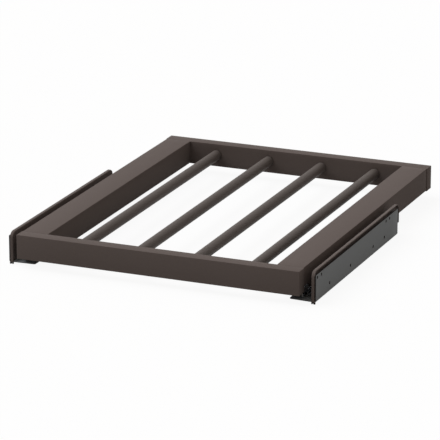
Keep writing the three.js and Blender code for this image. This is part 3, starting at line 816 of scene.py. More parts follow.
def cross_rail(node, inner_side, sizes, rod_places, rod_radius):
    """A board on edge, from its rounded outline in Y and Z carried along X, with a blind socket for
    each rod in the face that looks to the rack's inside."""
    low, high = box(node)
    rod_height = centre("hanging_rod_1")[2]
    half = rod_radius + SOCKET_MARGIN
    face, start = (high[1], low[2]) if inner_side == FACING_BACK else (low[1], high[2])
    across = window_lines([abs(rod_height - start)], half, BOARD_CELLS)
    corners = rectangle(low[1:], high[1:])
    ring, places = outline(corners, sizes.edge_radius, lines={inner_side: across})
    along = window_lines(rod_places, half, BOARD_CELLS)
    bar = rounded_bar(ring, "X", low[0], high[0], sizes.end_radius, rising(along))
    columns = (places[inner_side][0], places[inner_side][-1])
    radius, chamfer = rod_radius + sizes.socket_gap, sizes.socket_chamfer
    steps = [(radius + chamfer, 0), (radius, chamfer), (radius, sizes.socket_depth)]
    for x in rod_places:
        bar.drill(columns, half, np.array([x, face, rod_height]), steps)
    return bar.solid()


def side_rail(sizes):
    """A square bar between the cross rails, from its rounded outline in X and Z carried along Y,
    with a bore for a cam lock near each end of its underside."""
    low, high = box("side_rail_right")
    lock_low, lock_high = box("front_cam_lock_right")
    lock_x = centre("front_cam_lock_right")[0]
    lock_places = [centre(f"{end}_cam_lock_right")[1] for end in ENDS]
    radius, chamfer = (lock_high[0] - lock_low[0]) / 2 + sizes.socket_gap, sizes.socket_chamfer
    half = radius + chamfer + LOCK_MARGIN
    across = window_lines([lock_x - low[0]], half, BOARD_CELLS)
    lower, upper = sizes.lower_radius, sizes.edge_radius
    corners = rectangle(low[[0, 2]], high[[0, 2]])
    ring, places = outline(corners, [lower, lower, upper, upper], lines={0: across})
    along = window_lines(lock_places, half, BOARD_CELLS)
    bar = rounded_bar(ring, "Y", low[1], high[1], sizes.joint_radius, rising(along))
    columns = (places[0][0], places[0][-1])
    depth = lock_high[2] - low[2] + sizes.socket_gap
    steps = [(radius + chamfer, 0), (radius, chamfer), (radius, depth)]
    for y in lock_places:
        bar.drill(columns, half, np.array([lock_x, y, low[2]]), steps)
    return bar.solid()


def hanging_rod(node, sizes):
    """A round tube along Y with rounded cut ends: its wall's profile turned about its axis."""
    low, high = box(node)
    middle = centre(node) * (1, 0, 1)
    outer, edge = (high[0] - low[0]) / 2, sizes.end_radius
    inner = outer - sizes.wall
    profile = [
        (inner, low[1]),
        (outer - edge, low[1]),
        (outer, low[1] + edge),
        (outer, high[1] - edge),
        (outer - edge, high[1]),
        (inner, high[1]),
        (inner, low[1]),
    ]
    return turned(profile, "Y", middle, sides=48)


# ---------------------------------------------------------------- brackets and covers


def wall_bracket(sizes):
    """A bent sheet, from its outline in X and Z carried along Y: plate outside, bend, then ledge.
    Near an end each point is moved back by its own amount, which sets the ledge behind the cover's
    leg and rounds the free corners: r - sqrt(r^2 - (r - t)^2) at a distance t from the edge."""
    low, high = box("wall_bracket_right")
    sheet, corner = sizes.sheet, sizes.corner_radius
    inner = sizes.bend_radius - sheet
    corners = [
        (low[0], low[2]),
        (high[0], low[2]),
        (high[0], high[2]),
        (high[0] - sheet, high[2]),
        (high[0] - sheet, low[2] + sheet),
        (low[0], low[2] + sheet),
    ]
    edge = sizes.edge_radius
    radii = [edge, sizes.bend_radius, edge, edge, inner, edge]
    half = sizes.hole_diameter / 2 + HOLE_MARGIN
    height, depth = high[2] - low[2], high[0] - low[0]
    levels = [sizes.lower_holes, height - sizes.upper_holes]
    # Lines through the free corners' arcs, at even angles, clear of the rounded edge.
    arc = 1 - np.cos(np.linspace(0.15, 1, 7) * math.pi / 2)
    clear = 1.2 * edge
    top_arc, ledge_arc = arc * sizes.top_corner_radius, arc * corner
    holes = window_lines(levels, half, SHEET_CELLS)
    plate_lines = rising(holes, height - top_arc[top_arc > clear])
    ledge_lines = rising(ledge_arc[ledge_arc > clear])
    lines = {
        0: ledge_lines,
        1: plate_lines,
        3: (height - plate_lines)[::-1],
        4: (depth - sheet - ledge_lines)[::-1],
    }
    ring, places = outline(corners, radii, steps=5, lines=lines)
    front_gap = box("rack_member_right")[0][1] - low[1] - PLAY
    hole_places = bracket_hole_places(low[1], high[1])
    along = rising(*[window_lines(row, half, SHEET_CELLS) for row in hole_places])
    stations, insets = rounded_ends(low[1], high[1], edge, along, steps=2)
    on_ledge = ring[:, 0] < high[0] - sizes.bend_radius
    reach = np.where(on_ledge, corner, sizes.top_corner_radius)
    free = np.clip(np.where(on_ledge, ring[:, 0] - low[0], high[2] - ring[:, 1]), 0, reach)
    bow = reach - np.sqrt(np.maximum(reach**2 - (reach - free) ** 2, 0))
    fade = 4 * corner  # how far along the bar that amount runs out
    near = np.clip(1 - (stations - low[1]) / fade, 0, 1)
    far = np.clip(1 - (high[1] - stations) / fade, 0, 1)
    shift = np.outer(near, bow + np.where(on_ledge, front_gap, 0)) - np.outer(far, bow)
    bar = Bar(inset_rings(ring, insets), "Y", stations, shift)
    radius, rim = sizes.hole_diameter / 2, 0.2 * MM
    steps = [(radius + rim, 0), (radius, rim), (radius, sheet - rim), (radius + rim, sheet)]
    for row, level in zip(hole_places, (levels[1], levels[0])):
        outside, inside = [side_columns(ring, places[k], low[2] + level, half) for k in (1, 3)]
        for y in row:
            bar.drill(outside, half, np.array([high[0], y, low[2] + level]), steps, leave=inside)
    return bar.solid()


def side_columns(ring, places, level, half):
    """The outline's points on one side at the lower and upper edge of a window, in that order."""
    heights = ring[places, 1]
    return [int(places[np.argmin(np.abs(heights - edge))]) for edge in (level - half, level + half)]


def bracket_hole_places(front, rear):
    """Distances along Y of a plate's upper and lower holes."""
    upper = [front + gap for gap in UPPER_HOLES[0]] + [rear - gap for gap in UPPER_HOLES[1]]
    return upper, [front + share * (rear - front) for share in LOWER_HOLES]


def second_finish(piece, material, chosen):
    """Gives some of a piece's faces another finish: chosen(normals, centres) says which."""
    mesh = piece.data
    normals, places = np.empty((2, len(mesh.polygons), 3))
    mesh.polygons.foreach_get("normal", normals.ravel())
    mesh.polygons.foreach_get("center", places.ravel())
    mesh.materials.append(material)
    mesh.polygons.foreach_set("material_index", chosen(normals, places).astype(np.int32))


def finish_cut_edges(piece, material):
    """Gives the edges and hole walls of a bracket's plate their own dark finish, partly painted
    shade: the faces of the plate that don't look along X, and those of the bend that look along Y."""
    low, high = box(piece.name.replace("bracket_sheet", "wall_bracket"))
    bend = 2.5 * MM  # a little beyond the bend's outer radius

    def cut(normals, places):
        side, along = np.abs(normals[:, :2]).T
        in_plate = places[:, 2] > low[2] + bend
        in_ledge = np.minimum(places[:, 0] - low[0], high[0] - places[:, 0]) > bend
        return np.where(in_plate, side < 0.5, ~in_ledge & (along > LOOKS_ALONG))

    second_finish(piece, material, cut)


def paint_tip_shade(piece, material, height):
    """Gives the lowest part of a cover's leg a near black material, which is painted shade at its
    feet.
    """
    top = box(piece.name.replace("cover_moulding", "runner_cover"))[0][2] + height
    second_finish(piece, material, lambda normals, places: places[:, 2] < top)


def runner_cover(sizes):
    """A moulded tray, from its outline in Y and Z carried along X. The outline has round top
    corners, a leg at the front and a notch at the lower rear. Its rings are inset at both rims by
    r * (1 - sin a), and on the plate's side they turn back inwards about a hollow. The rim on that
    side stands back from the plate by a step. The leg's lowest points stand higher in the middle of
    its width, which leaves it two tips, of which the outer reaches out below the plate."""
    low, high = box("runner_cover_right")
    plate_low, plate_high = box("wall_bracket_right")
    behind = 1.5 * MM  # the bracket's sheet and the play beside it
    high[0] = plate_high[0] - behind
    bottom = plate_low[2] + behind
    leg_end, notch = low[1] + sizes.leg_thickness, high[1] - sizes.notch_length
    corners = [
        (low[1], low[2]),
        (leg_end, low[2]),
        (leg_end, bottom),
        (notch, bottom),
        (notch, bottom + sizes.notch_height),
        (high[1], bottom + sizes.notch_height),
        (high[1], high[2]),
        (low[1], high[2]),
    ]
    small, large = sizes.edge_radius, sizes.corner_radius
    radii = [small, small, 0, 0, 0, 0, large, large]
    # Points on both sides of the leg where its near black part, painted shade, ends.
    tip_lines = {1: [sizes.tip_shade_height], 7: [high[2] - low[2] - sizes.tip_shade_height]}
    ring, _ = outline(corners, radii, steps=8, lines=tip_lines)
    in_tips = ring[:, 1] < low[2] + small + JOIN
    middle = (low[0] + high[0]) / 2
    tip_gap = sizes.tip_gap / 2
    near, near_inset = rounded_ends(low[0], middle, sizes.inner_radius, steps=5)
    far, far_inset = rounded_ends(middle, high[0], small, steps=4)
    halves = slice(None, len(near) // 2), slice(len(far) // 2, None)
    profile = [
        np.concatenate([rack_side[halves[0]], plate_side[halves[1]]])
        for rack_side, plate_side in ((near, far), (near_inset, far_inset))
    ]
    jump = 0.02 * MM  # width of the wall at each side of the gap between the tips
    tips = [middle + side * (tip_gap + step) for side in (-1, 1) for step in (0, jump)]
    stations = rising(profile[0], tips)
    insets = np.interp(stations, *profile)
    rings = inset_rings(ring, insets)
    between = np.abs(stations - middle) < tip_gap + jump / 2
    rings[..., 1] += np.outer(between, in_tips) * sizes.tip_height
    hollow = ring - outward(ring) * sizes.wall
    hollow = np.maximum(hollow, (low[1] + sizes.wall, bottom + sizes.wall))
    rings = np.concatenate([rings, hollow[None], hollow[None]])
    stations = np.append(stations, [high[0], low[0] + sizes.wall])
    # The front's step runs out from 1 mm below the plate's top to 1 mm above it, and the top's step
    # comes in from 0.5 to 1.5 mm above it.
    above_plate = ring[:, 1] - plate_high[2]
    at_front = (ring[:, 0] < leg_end + PLAY) * np.clip((MM - above_plate) / (2 * MM), 0, 1)
    at_top = np.clip((above_plate - 0.5 * MM) / MM, 0, 1)
    on_rim = stations > high[0] - small - JOIN
    setback = sizes.front_step * at_front + sizes.top_step * at_top
    shift = -np.outer(on_rim, np.where(in_tips, -sizes.tip_reach, setback))
    return Bar(rings, "X", stations, shift).solid()


# ---------------------------------------------------------------- runners


def race(middle, lift, radius, sheet_x, outside, steps=8):
    """Points of a sheet's centre line where it bows round a ball, from its lower to its upper edge:
    an arc of the given radius about the ball's centre, between the two points where it meets the
    sheet's straight line at sheet_x."""
    reach = math.acos(min(1.0, abs(sheet_x - middle) / radius))
    angles = np.linspace(-reach, reach, steps + 1)
    return np.stack([middle + outside * radius * np.cos(angles), lift + radius * np.sin(angles)], 1)


def both_halves(half):
    """A centre line that is the same on both sides of x = 0, from its right half, which starts
    there."""
    return np.concatenate([(half * (-1, 1))[::-1], half[1:]])


def runner_levels(sizes):
    """Heights above the ledge and distances from a runner's middle that follow from its balls and
    sheets, in metres."""
    ball, play = sizes.ball_diameter / 2, sizes.ball_play
    sheet, middle = sizes.sheet, sizes.middle_sheet
    dip = 0.4 * MM  # how far a race's ball reaches into the sheet's line
    inner_ball = INNER_WALL - dip + ball + play
    middle_x = inner_ball + ball + play + middle / 2
    outer_ball = middle_x + middle / 2 + ball + play
    return {
        "dip": dip,
        "inner_ball": inner_ball,
        "outer_ball": outer_ball,
        "middle_x": middle_x,
        "outer_x": outer_ball + ball + play - dip + sheet / 2,
        "outer_lift": 4.0 * MM,
        "inner_lift": 5.2 * MM,
    }


def carried_strip(node, path, thickness, sizes):
    """A sheet of even thickness about a centre line in X and Z, carried along a node's length."""
    low, high = box(node)
    ring = strip(path + (centre(node)[0], 0), thickness)
    return rounded_bar(ring, "Y", low[1], high[1], sizes.edge_radius, steps=2).solid()


def cabinet_member(sizes, base):
    """The outer channel: base, bend, wall with a race that bows outwards, and a short lip."""
    at = runner_levels(sizes)
    radius = sizes.ball_diameter / 2 + sizes.ball_play + sizes.sheet / 2
    _, high = box("cabinet_member_right")
    floor = PLAY + sizes.sheet / 2
    wall = at["outer_x"]
    bow = race(at["outer_ball"], at["outer_lift"], radius, wall, 1)
    corners, bend = [(0, floor), (wall, floor), bow[0]], 1 * MM
    corner, _ = outline(corners, [0, bend, 0], steps=6, closed=False)
    half = np.concatenate([corner, bow[1:], [(wall, high[2] - base)]])
    return carried_strip("cabinet_member_right", both_halves(half) + (0, base), sizes.sheet, sizes)


def middle_member(sizes, base):
    """The channel between the two rows of balls: its wall steps in past the outer balls and out
    again past the inner ones."""
    at = runner_levels(sizes)
    low, high = box("middle_member_right")
    floor = low[2] - base + sizes.middle_sheet / 2
    radius = sizes.ball_diameter / 2 + sizes.ball_play + sizes.middle_sheet / 2
    outer_bow = race(at["outer_ball"], at["outer_lift"], radius, at["middle_x"] + at["dip"], -1)
    inner_bow = race(at["inner_ball"], at["inner_lift"], radius, at["middle_x"] - at["dip"], 1)
    lower = outer_bow[outer_bow[:, 1] <= at["outer_lift"] + JOIN]
    upper = inner_bow[inner_bow[:, 1] >= at["inner_lift"] - JOIN]
    corners, bend = [(0, floor), (lower[0, 0], floor), lower[0]], 0.5 * MM
    corner, _ = outline(corners, [0, bend, 0], steps=5, closed=False)
    half = np.concatenate([corner, lower[1:], upper, [(upper[-1, 0], high[2] - base)]])
    path = both_halves(half) + (0, base)
    return carried_strip("middle_member_right", path, sizes.middle_sheet, sizes)


def rack_member(sizes, base):
    """The inner profile: a plate under the side rail with two walls that bow in round the inner
    balls, and at the front an ear with round corners that stands up against the rail."""
    at = runner_levels(sizes)
    low, high = box("rack_member_right")
    middle = centre("cabinet_member_right")[0]
    top = box("side_rail_right")[0][2] - base - PLAY
    under = top - sizes.sheet
    ball = sizes.ball_diameter / 2 + sizes.ball_play
    wall = 1.4 * MM
    inner_x = INNER_WALL - wall
    bow = race(at["inner_ball"], at["inner_lift"], ball, INNER_WALL, -1)
    above_cage = 0.85 * MM
    foot = box("inner_ball_cage_right")[0][2] - base + above_cage
    right = np.concatenate([[(inner_x, foot), (INNER_WALL, foot)], bow, [(INNER_WALL, under)]])
    left = (right * (-1, 1))[::-1]
    inner_edge, ear_x = low[0] - middle, high[0] - middle
    corners = np.concatenate(
        [
            [(inner_edge, top), (inner_edge, under)],
            left,
            [(-inner_x, under), (inner_x, under)],
            right,
            [(ear_x, under), (ear_x, top)],
        ]
    )
    soft, bend = 0.3 * MM, 0.8 * MM
    radii = np.zeros(len(corners))
    radii[[0, 1, -1]] = soft
    radii[-2] = bend
    ring, _ = outline(corners + (middle, base), radii, steps=3)
    profile = rounded_bar(ring, "Y", low[1], high[1], sizes.edge_radius, steps=2)
    ear_middle = centre("ear_screw_right")[1]
    half, round_corner = 8 * MM, 2 * MM
    ear_corners = rectangle((ear_middle - half, base + under + soft), (ear_middle + half, high[2]))
    ear_ring, _ = outline(ear_corners, [0, 0, round_corner, round_corner], steps=6)
    face = high[0] - sizes.sheet
    ear = rounded_bar(ear_ring, "X", face, high[0], sizes.edge_radius, steps=2)
    return together(profile.solid(), ear.solid())


def ball_cage(node, offset, lift, sizes, base):
    """A thin strip folded up at both sides, with its balls: each ball is a half circle turned."""
    low, high = box(node)
    middle, radius = centre(node)[0], sizes.ball_diameter / 2
    floor, top = low[2] - base + sizes.cage_sheet / 2, lift + radius
    corners, bend = [(0, floor), (offset, floor), (offset, top)], 0.5 * MM
    half, _ = outline(corners, [0, bend, 0], steps=5, closed=False)
    folded = carried_strip(node, both_halves(half) + (0, base), sizes.cage_sheet, sizes)
    angles = np.linspace(0, math.pi, 9)
    profile = np.stack([radius * np.sin(angles), -radius * np.cos(angles)], 1)
    profile[[0, -1], 0] = 0
    count = 6
    pitch = (high[1] - low[1]) / count
    places = [low[1] + (k + 0.5) * pitch for k in range(count)]
    balls = [
        turned(profile, "Z", (middle + side * offset, y, base + lift), sides=16)
        for y in places
        for side in (-1, 1)
    ]
    return together(folded, *balls)


def rear_bumper():
    """A rubber block with rounded edges on a round peg through the channel and the ledge."""
    low, high = box("rear_bumper_right")
    above_channel = 1.1 * MM
    bottom = box("cabinet_member_right")[0][2] + above_channel
    soft, end_soft = 0.8 * MM, 0.72 * MM
    ring, _ = outline(rectangle((low[0], bottom), (high[0], high[2])), soft)
    block = rounded_bar(ring, "Y", low[1], high[1], end_soft, steps=4).solid()
    radius, chamfer = 1.5 * MM, 0.3 * MM
    foot = [(0, low[2]), (radius - chamfer, low[2]), (radius, low[2] + chamfer)]
    profile = [*foot, (radius, bottom), (0, bottom)]
    peg = turned(profile, "Z", (low + high) / 2 * (1, 1, 0), sides=20)
    return together(block, peg)


# ---------------------------------------------------------------- fasteners


def cross_recess(x, y, reach, width, depth):
    """Depth of a cross recess at points x, y: two crossing slots whose floors slope up towards
    their ends, with steep flanks."""

    def slot(along, across):
        flank = np.clip((width / 2 - np.abs(across)) / (width / 5) + 0.5, 0, 1)
        slope = np.clip(1.15 * (1 - np.abs(along) / reach), 0, 1) ** 0.6
        return flank * slope

    return depth * np.maximum(slot(x, y), slot(y, x))


def recessed_disc(radius, height, recess, sides=48, rows=20):
    """A round top with a cross recess, as a grid of radius and angle: its height falls by
    0.35 * height * (radius / R)^4 towards the rim, less the recess."""
    r = radius * np.linspace(0, 1, rows)[:, None]
    angles = np.linspace(0, 2 * math.pi, sides, endpoint=False)[None]
    x, y = r * np.cos(angles), r * np.sin(angles)
    z = height * (1 - 0.35 * (r / radius) ** 4) - cross_recess(x, y, *recess)
    return np.stack([x, y, z], -1)


def standing_grid(grid, closing):
    """Points and faces of a grid of rows round Z, from its top down. closing picks the row that is
    its flat end out of the point numbers."""
    index = np.arange(grid.size // 3).reshape(grid.shape[:2])
    faces = grid_faces(index, flipped=True).reshape(-1, 4)
    return weld(grid.reshape(-1, 3), faces, [closing(index).tolist()])


def disc_on_wall(disc, rim):
    """A recessed disc with a wall under it, whose rings have the radii and heights in rim."""
    rim, sides = np.array(rim), disc.shape[1]
    angles = np.linspace(0, 2 * math.pi, sides, endpoint=False)
    circle = np.stack([np.cos(angles), np.sin(angles)], -1)
    heights = np.broadcast_to(rim[:, None, 1:], (len(rim), sides, 1))
    wall = np.concatenate([rim[:, None, :1] * circle[None], heights], -1)
    return standing_grid(np.concatenate([disc, wall]), lambda index: index[-1, ::-1])


def headed_screw(node, axis, head_radius, head_height):
    """A pan-head screw with a cross recess and a rolled thread. The thread is a grid of length and
    angle whose radius rises to a ridge along each turn."""
    low, high = box(node)
    recess = 1.75 * MM, 0.8 * MM, 0.9 * MM  # reach, width, depth
    soft, neck = 0.25 * MM, 1.3 * MM
    rim = [(head_radius, soft), (head_radius - soft, 0.0), (neck, 0.0)]
    head = disc_on_wall(recessed_disc(head_radius, head_height, recess), rim)
    pitch, core, ridge, point = 1.4 * MM, 1.1 * MM, 0.5 * MM, 3 * MM
    steepness = 2.2  # of a ridge's flanks
    reach = (high - low)["XYZ".index(axis)] - head_height
    rows, sides = int(reach / (pitch / 8)) + 1, 20
    z = np.linspace(0, reach, rows)[:, None]
    turn = np.linspace(0, 2 * math.pi, sides, endpoint=False)[None]
    phase = np.abs(((z / pitch - turn / (2 * math.pi)) % 1) - 0.5) * 2
    taper = np.clip((reach - z) / point, 0, 1)
    r = (core + ridge * np.clip(1 - phase * steepness, 0, 1)) * taper
    thread = np.stack([r * np.cos(turn), r * np.sin(turn), np.broadcast_to(-z, r.shape)], -1)
    points, faces = together(head, standing_grid(thread, lambda index: index[0]))
    middle = (low + high) / 2
    if axis == "Z":
        points = points * (1, -1, -1) + (middle[0], middle[1], low[2] + head_height)
    else:
        points = points[:, [2, 0, 1]] + (high[0] - head_height, middle[1], middle[2])
    return points, faces


def cam_lock(node):
    """The drum of a cam lock, with a cross recess in its underside."""
    low, high = box(node)
    radius, chamfer, bulge = (high[0] - low[0]) / 2, 0.3 * MM, 0.01 * MM
    recess = 3.6 * MM, 1.3 * MM, 2.0 * MM  # reach, width, depth
    disc = recessed_disc(radius - chamfer, bulge, recess, rows=26)
    points, faces = disc_on_wall(disc, [(radius, -chamfer), (radius, low[2] - high[2])])
    middle = (low + high) / 2
    return points * (1, -1, -1) + (middle[0], middle[1], low[2]), faces


def rivet(node):
    """A blind rivet turned about Z: the profile of its head under the ledge is an arc."""
    low, high = box(node)
    head, shank, rise = (high[0] - low[0]) / 2, 1.9 * MM, 0.9 * MM
    hollow, hollow_depth = 0.9 * MM, 0.5 * MM
    angles = np.linspace(0, math.pi / 2, 7)
    dome = np.stack([head * np.sin(angles), low[2] + rise * (1 - np.cos(angles))], 1)
    dome[0, 0] = 0
    top, floor = high[2], high[2] - hollow_depth
    upset = [(shank, low[2] + rise), (shank, top), (hollow, top), (hollow, floor), (0, floor)]
    return turned([*dome, *upset], "Z", (low + high) / 2 * (1, 1, 0))


# ---------------------------------------------------------------- stage


def aim_camera(stage):
    """The camera at the photograph's angle."""
    data = bpy.data.cameras.new("Camera")
    data.lens = stage.focal_length
    data.sensor_width = SENSOR_WIDTH
    data.clip_end = FAR_END
    camera = add_object("Camera", data)
    camera.location = stage.camera_place
    camera.rotation_euler = Euler((math.pi / 2 - stage.camera_drop, 0, stage.camera_turn))
    bpy.context.scene.camera = camera


def seen_directly(owner):
    """One for rays from the camera, off shiny surfaces and through clear ones, else nought."""
    rays = add_node(owner, "ShaderNodeLightPath")
    total = rays.outputs["Is Camera Ray"]
    for name in ("Is Glossy Ray", "Is Transmission Ray"):
        settings = {"operation": "MAXIMUM"}
        either = add_node(owner, "ShaderNodeMath", settings, n0=total, n1=rays.outputs[name])
        total = either.outputs["Value"]
    return total


def pale_world(stage):
    """An even sky, which the camera and shiny surfaces see as white."""
    world = blank(bpy.data.worlds.new("Pale sky"))
    light, backdrop = [
        add_node(world, "ShaderNodeBackground", settings).outputs["Background"]
        for settings in (
            {"Color": stage.sky_colour, "Strength": stage.sky},
            {"Color": WHITE, "Strength": 1.0},
        )
    ]
    shaders = {"n1": light, "n2": backdrop}
    sky = add_node(world, "ShaderNodeMixShader", Fac=seen_directly(world), **shaders)
    add_node(world, "ShaderNodeOutputWorld", Surface=sky.outputs["Shader"])
    bpy.context.scene.world = world


def pale_floor(stage):
    """A wide floor just under the legs. Seen directly it is white, with a share of the shadow."""
    half, height = 15.0, -0.2 * MM
    mesh = bpy.data.meshes.new("Floor")
    corners = [(x, y, height) for x, y in rectangle((-half, -half), (half, half))]
    mesh.from_pydata(corners, [], [(0, 1, 2, 3)])
    material = blank(bpy.data.materials.new("floor_pale"))
    matt, shaded = [
        add_node(material, "ShaderNodeBsdfDiffuse", {"Color": tone}).outputs["BSDF"]
        for tone in (stage.floor_colour, WHITE)
    ]
    plain = add_node(material, "ShaderNodeEmission", {"Color": WHITE, "Strength": 1.0})
    shaders = {"n1": shaded, "n2": plain.outputs["Emission"]}
    share = {"Fac": 1 - stage.floor_shade}
    backdrop = add_node(material, "ShaderNodeMixShader", share, **shaders)
    shaders = {"n1": matt, "n2": backdrop.outputs["Shader"]}
    surface = add_node(material, "ShaderNodeMixShader", Fac=seen_directly(material), **shaders)
    add_node(material, "ShaderNodeOutputMaterial", Surface=surface.outputs["Shader"])
    mesh.materials.append(material)
    add_object("Floor", mesh)


def soft_sun(stage):
    """A broad, soft key light from above and the left."""
    data = bpy.data.lights.new("Key light", "SUN")
    data.energy = stage.key_strength
    data.color = stage.key_colour[:3]
    data.angle = stage.key_spread
    lamp = add_object("Key light", data)
    lamp.location = (0, 0, 3)
    lamp.rotation_euler = Vector(stage.key_place).to_track_quat("Z", "Y").to_euler()


# ---------------------------------------------------------------- operators


class RACK_OT_cross_rails(bpy.types.Operator):
    """Make the front and rear rails with their rod sockets"""

    bl_idname = "rack.cross_rails"
    bl_label = "Front and rear rails"

    def execute(self, context):
        scene = context.scene
        material = frame_foil(scene.rack_colours)
        rods = [centre(f"hanging_rod_{i}")[0] for i in range(1, 5)]
        low, high = box("hanging_rod_1")
        radius = (high[0] - low[0]) / 2
        for end, inner_side in zip(ENDS, (FACING_BACK, FACING_FRONT)):
            solid = cross_rail(f"{end}_rail", inner_side, scene.rack_boards, rods, radius)
            add_piece(f"{end}_rail_board", solid, "rack", material, "frame_foil", f"{end}_rail")
        return {"FINISHED"}


class RACK_OT_side_rails(bpy.types.Operator):
    """Make the two side rails with their cam bores"""

    bl_idname = "rack.side_rails"
    bl_label = "Side rails"

    def execute(self, context):
        scene = context.scene
        material = bpy.data.materials["melamine_foil_satin"]  # as on the cross rails
        solid = side_rail(scene.rack_boards)
        add_pair("side_rail_board", solid, "rack", material, "frame_foil", "side_rail")
        return {"FINISHED"}


class RACK_OT_hanging_rods(bpy.types.Operator):
    """Make the four hanging rods"""

    bl_idname = "rack.hanging_rods"
    bl_label = "Hanging rods"

    def execute(self, context):
        scene = context.scene
        material = rod_coat(scene.rack_colours)
        for i in range(1, 5):
            node = f"hanging_rod_{i}"
            solid = hanging_rod(node, scene.rack_rods)
            add_piece(f"{node}_tube", solid, "rack", material, "rod_paint", node)
        return {"FINISHED"}


class RACK_OT_wall_brackets(bpy.types.Operator):
    """Make the bent sheet brackets with their screw holes"""

    bl_idname = "rack.wall_brackets"
    bl_label = "Wall brackets"

    def execute(self, context):
        scene = context.scene
        material = bracket_coat(scene.rack_colours)
        solid = wall_bracket(scene.rack_brackets)
        # The dark cut edges are partly painted shade.
        edge = sheared_edge_and_shade(scene.rack_colours)
        looks = "wall_brackets", material, "bracket_paint"
        for piece in add_pair("bracket_sheet", solid, *looks, "wall_bracket"):
            finish_cut_edges(piece, edge)
        return {"FINISHED"}


class RACK_OT_covers(bpy.types.Operator):
    """Make the moulded covers between plates and rack"""

    bl_idname = "rack.covers"
    bl_label = "Covers"

    def execute(self, context):
        scene = context.scene
        material = cover_plastic(scene.rack_colours)
        solid = runner_cover(scene.rack_covers)
        # The legs' near black tips are painted shade.
        tip = tip_painted_shade(scene.rack_colours)
        looks = "wall_brackets", material, "cover_plastic"
        for piece in add_pair("cover_moulding", solid, *looks, "runner_cover"):
            paint_tip_shade(piece, tip, scene.rack_covers.tip_shade_height)
        return {"FINISHED"}


class RACK_OT_runners(bpy.types.Operator):
    """Make the ball runners' members, cages and bumpers"""

    bl_idname = "rack.runners"
    bl_label = "Ball runners"

    def execute(self, context):
        scene = context.scene
        sizes, colours = scene.rack_runners, scene.rack_colours
        base = box("cabinet_member_right")[0][2] - PLAY
        steel, greased, rubber = runner_steel(colours), cage_steel(colours), bumper_rubber(colours)
        at = runner_levels(sizes)
        members = [
            ("outer_channel", cabinet_member(sizes, base), "wall_brackets", "cabinet_member"),
            ("middle_channel", middle_member(sizes, base), "middle", "middle_member"),
            ("inner_profile", rack_member(sizes, base), "rack", "rack_member"),
        ]
        # The members' end faces get the bare cut colour, which is partly painted shade.
        bare = bare_cut_and_shade(colours)
        for name, solid, body, node in members:
            for piece in add_pair(name, solid, body, steel, "runner_steel", node):
                second_finish(piece, bare, lambda normals, _: np.abs(normals[:, 1]) > LOOKS_ALONG)
        for name in ("outer", "inner"):
            node = f"{name}_ball_cage"
            solid = ball_cage(f"{node}_right", at[f"{name}_ball"], at[f"{name}_lift"], sizes, base)
            add_pair(f"{name}_cage_with_balls", solid, f"{name}_cage", greased, "cage_steel", node)
        looks = "wall_brackets", rubber, "bumper_rubber"
        add_pair("bumper_block", rear_bumper(), *looks, "rear_bumper")
        return {"FINISHED"}


class RACK_OT_fasteners(bpy.types.Operator):
    """Make the screws, rivets and cam locks"""

    bl_idname = "rack.fasteners"
    bl_label = "Fasteners"

    def execute(self, context):
        colours = context.scene.rack_colours
        zinc, black = zinc_plate(colours), black_zinc(colours)
        head = 3 * MM, 1.5 * MM  # radius and height
        looks = zinc, "zinc_fastener"
        for i in range(1, 4):
            screw = headed_screw(f"rack_screw_{i}_right", "Z", *head)
            add_pair(f"pan_screw_{i}", screw, "rack", *looks, f"rack_screw_{i}")
            solid = rivet(f"rivet_{i}_right")
            add_pair(f"blind_rivet_{i}", solid, "wall_brackets", *looks, f"rivet_{i}")
        screw = headed_screw("ear_screw_right", "X", *head)
        add_pair("ear_pan_screw", screw, "rack", black, "black_screw", "ear_screw")
        for end in ENDS:
            node = f"{end}_cam_lock"
            add_pair(f"{end}_cam_drum", cam_lock(f"{node}_right"), "rack", *looks, node)
        return {"FINISHED"}


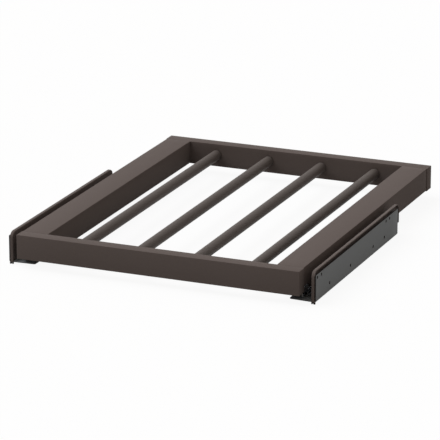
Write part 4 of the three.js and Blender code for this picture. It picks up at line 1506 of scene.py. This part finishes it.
class RACK_OT_carried_over(bpy.types.Operator):
    """Give the CAD's own nodes that still show their finishes"""

    bl_idname = "rack.carried_over"
    bl_label = "Dowels and cam bolts"

    def execute(self, context):
        colours = context.scene.rack_colours
        finishes = {
            "zinc_fastener": bpy.data.materials["zinc_plate_bright"],
            "dowel_beech": bare_beech(colours),
        }
        for row in frame["record"]["subparts"]:
            node = frame["nodes"][row["node"]]
            if not node.hide_render and row["material_slot"] in finishes:
                for slot in node.material_slots:
                    slot.material = finishes[row["material_slot"]]
        return {"FINISHED"}


class RACK_OT_stage(bpy.types.Operator):
    """Set the camera, the soft light and the pale floor"""

    bl_idname = "rack.stage"
    bl_label = "Camera, light and floor"

    def execute(self, context):
        stage = context.scene.rack_stage
        context.scene.view_settings.view_transform = "Standard"
        aim_camera(stage)
        pale_world(stage)
        pale_floor(stage)
        soft_sun(stage)
        return {"FINISHED"}


class RACK_PT_panel(bpy.types.Panel):
    """Lists the rack's pieces and the stage"""

    bl_idname = "RACK_PT_panel"
    bl_label = "Trouser rack"
    bl_space_type = "VIEW_3D"
    bl_region_type = "UI"
    bl_category = "Trouser rack"

    def draw(self, context):
        for operator in OPERATORS:
            self.layout.operator(operator.bl_idname)
        for name in GROUPS:
            group = getattr(context.scene, name)
            section = self.layout.box()
            for key in group.__annotations__:
                section.prop(group, key)


OPERATORS = (
    RACK_OT_cross_rails,
    RACK_OT_side_rails,
    RACK_OT_hanging_rods,
    RACK_OT_wall_brackets,
    RACK_OT_covers,
    RACK_OT_runners,
    RACK_OT_fasteners,
    RACK_OT_carried_over,
    RACK_OT_stage,
)
GROUPS = {
    "rack_boards": BoardSizes,
    "rack_rods": RodSizes,
    "rack_brackets": BracketSizes,
    "rack_covers": CoverSizes,
    "rack_runners": RunnerSizes,
    "rack_colours": FinishColours,
    "rack_stage": StageSettings,
}


def register():
    """Registers the classes and gives each scene its groups of properties."""
    for cls in (*GROUPS.values(), *OPERATORS, RACK_PT_panel):
        bpy.utils.register_class(cls)
    for name, group in GROUPS.items():
        setattr(bpy.types.Scene, name, bpy.props.PointerProperty(type=group))


def unregister():
    """Takes away what register() added."""
    for name in GROUPS:
        delattr(bpy.types.Scene, name)
    for cls in (RACK_PT_panel, *reversed(OPERATORS), *reversed(GROUPS.values())):
        bpy.utils.unregister_class(cls)


def main():
    register()
    for operator in OPERATORS:
        group, name = operator.bl_idname.split(".")
        getattr(getattr(bpy.ops, group), name)()


if __name__ == "__main__":
    main()
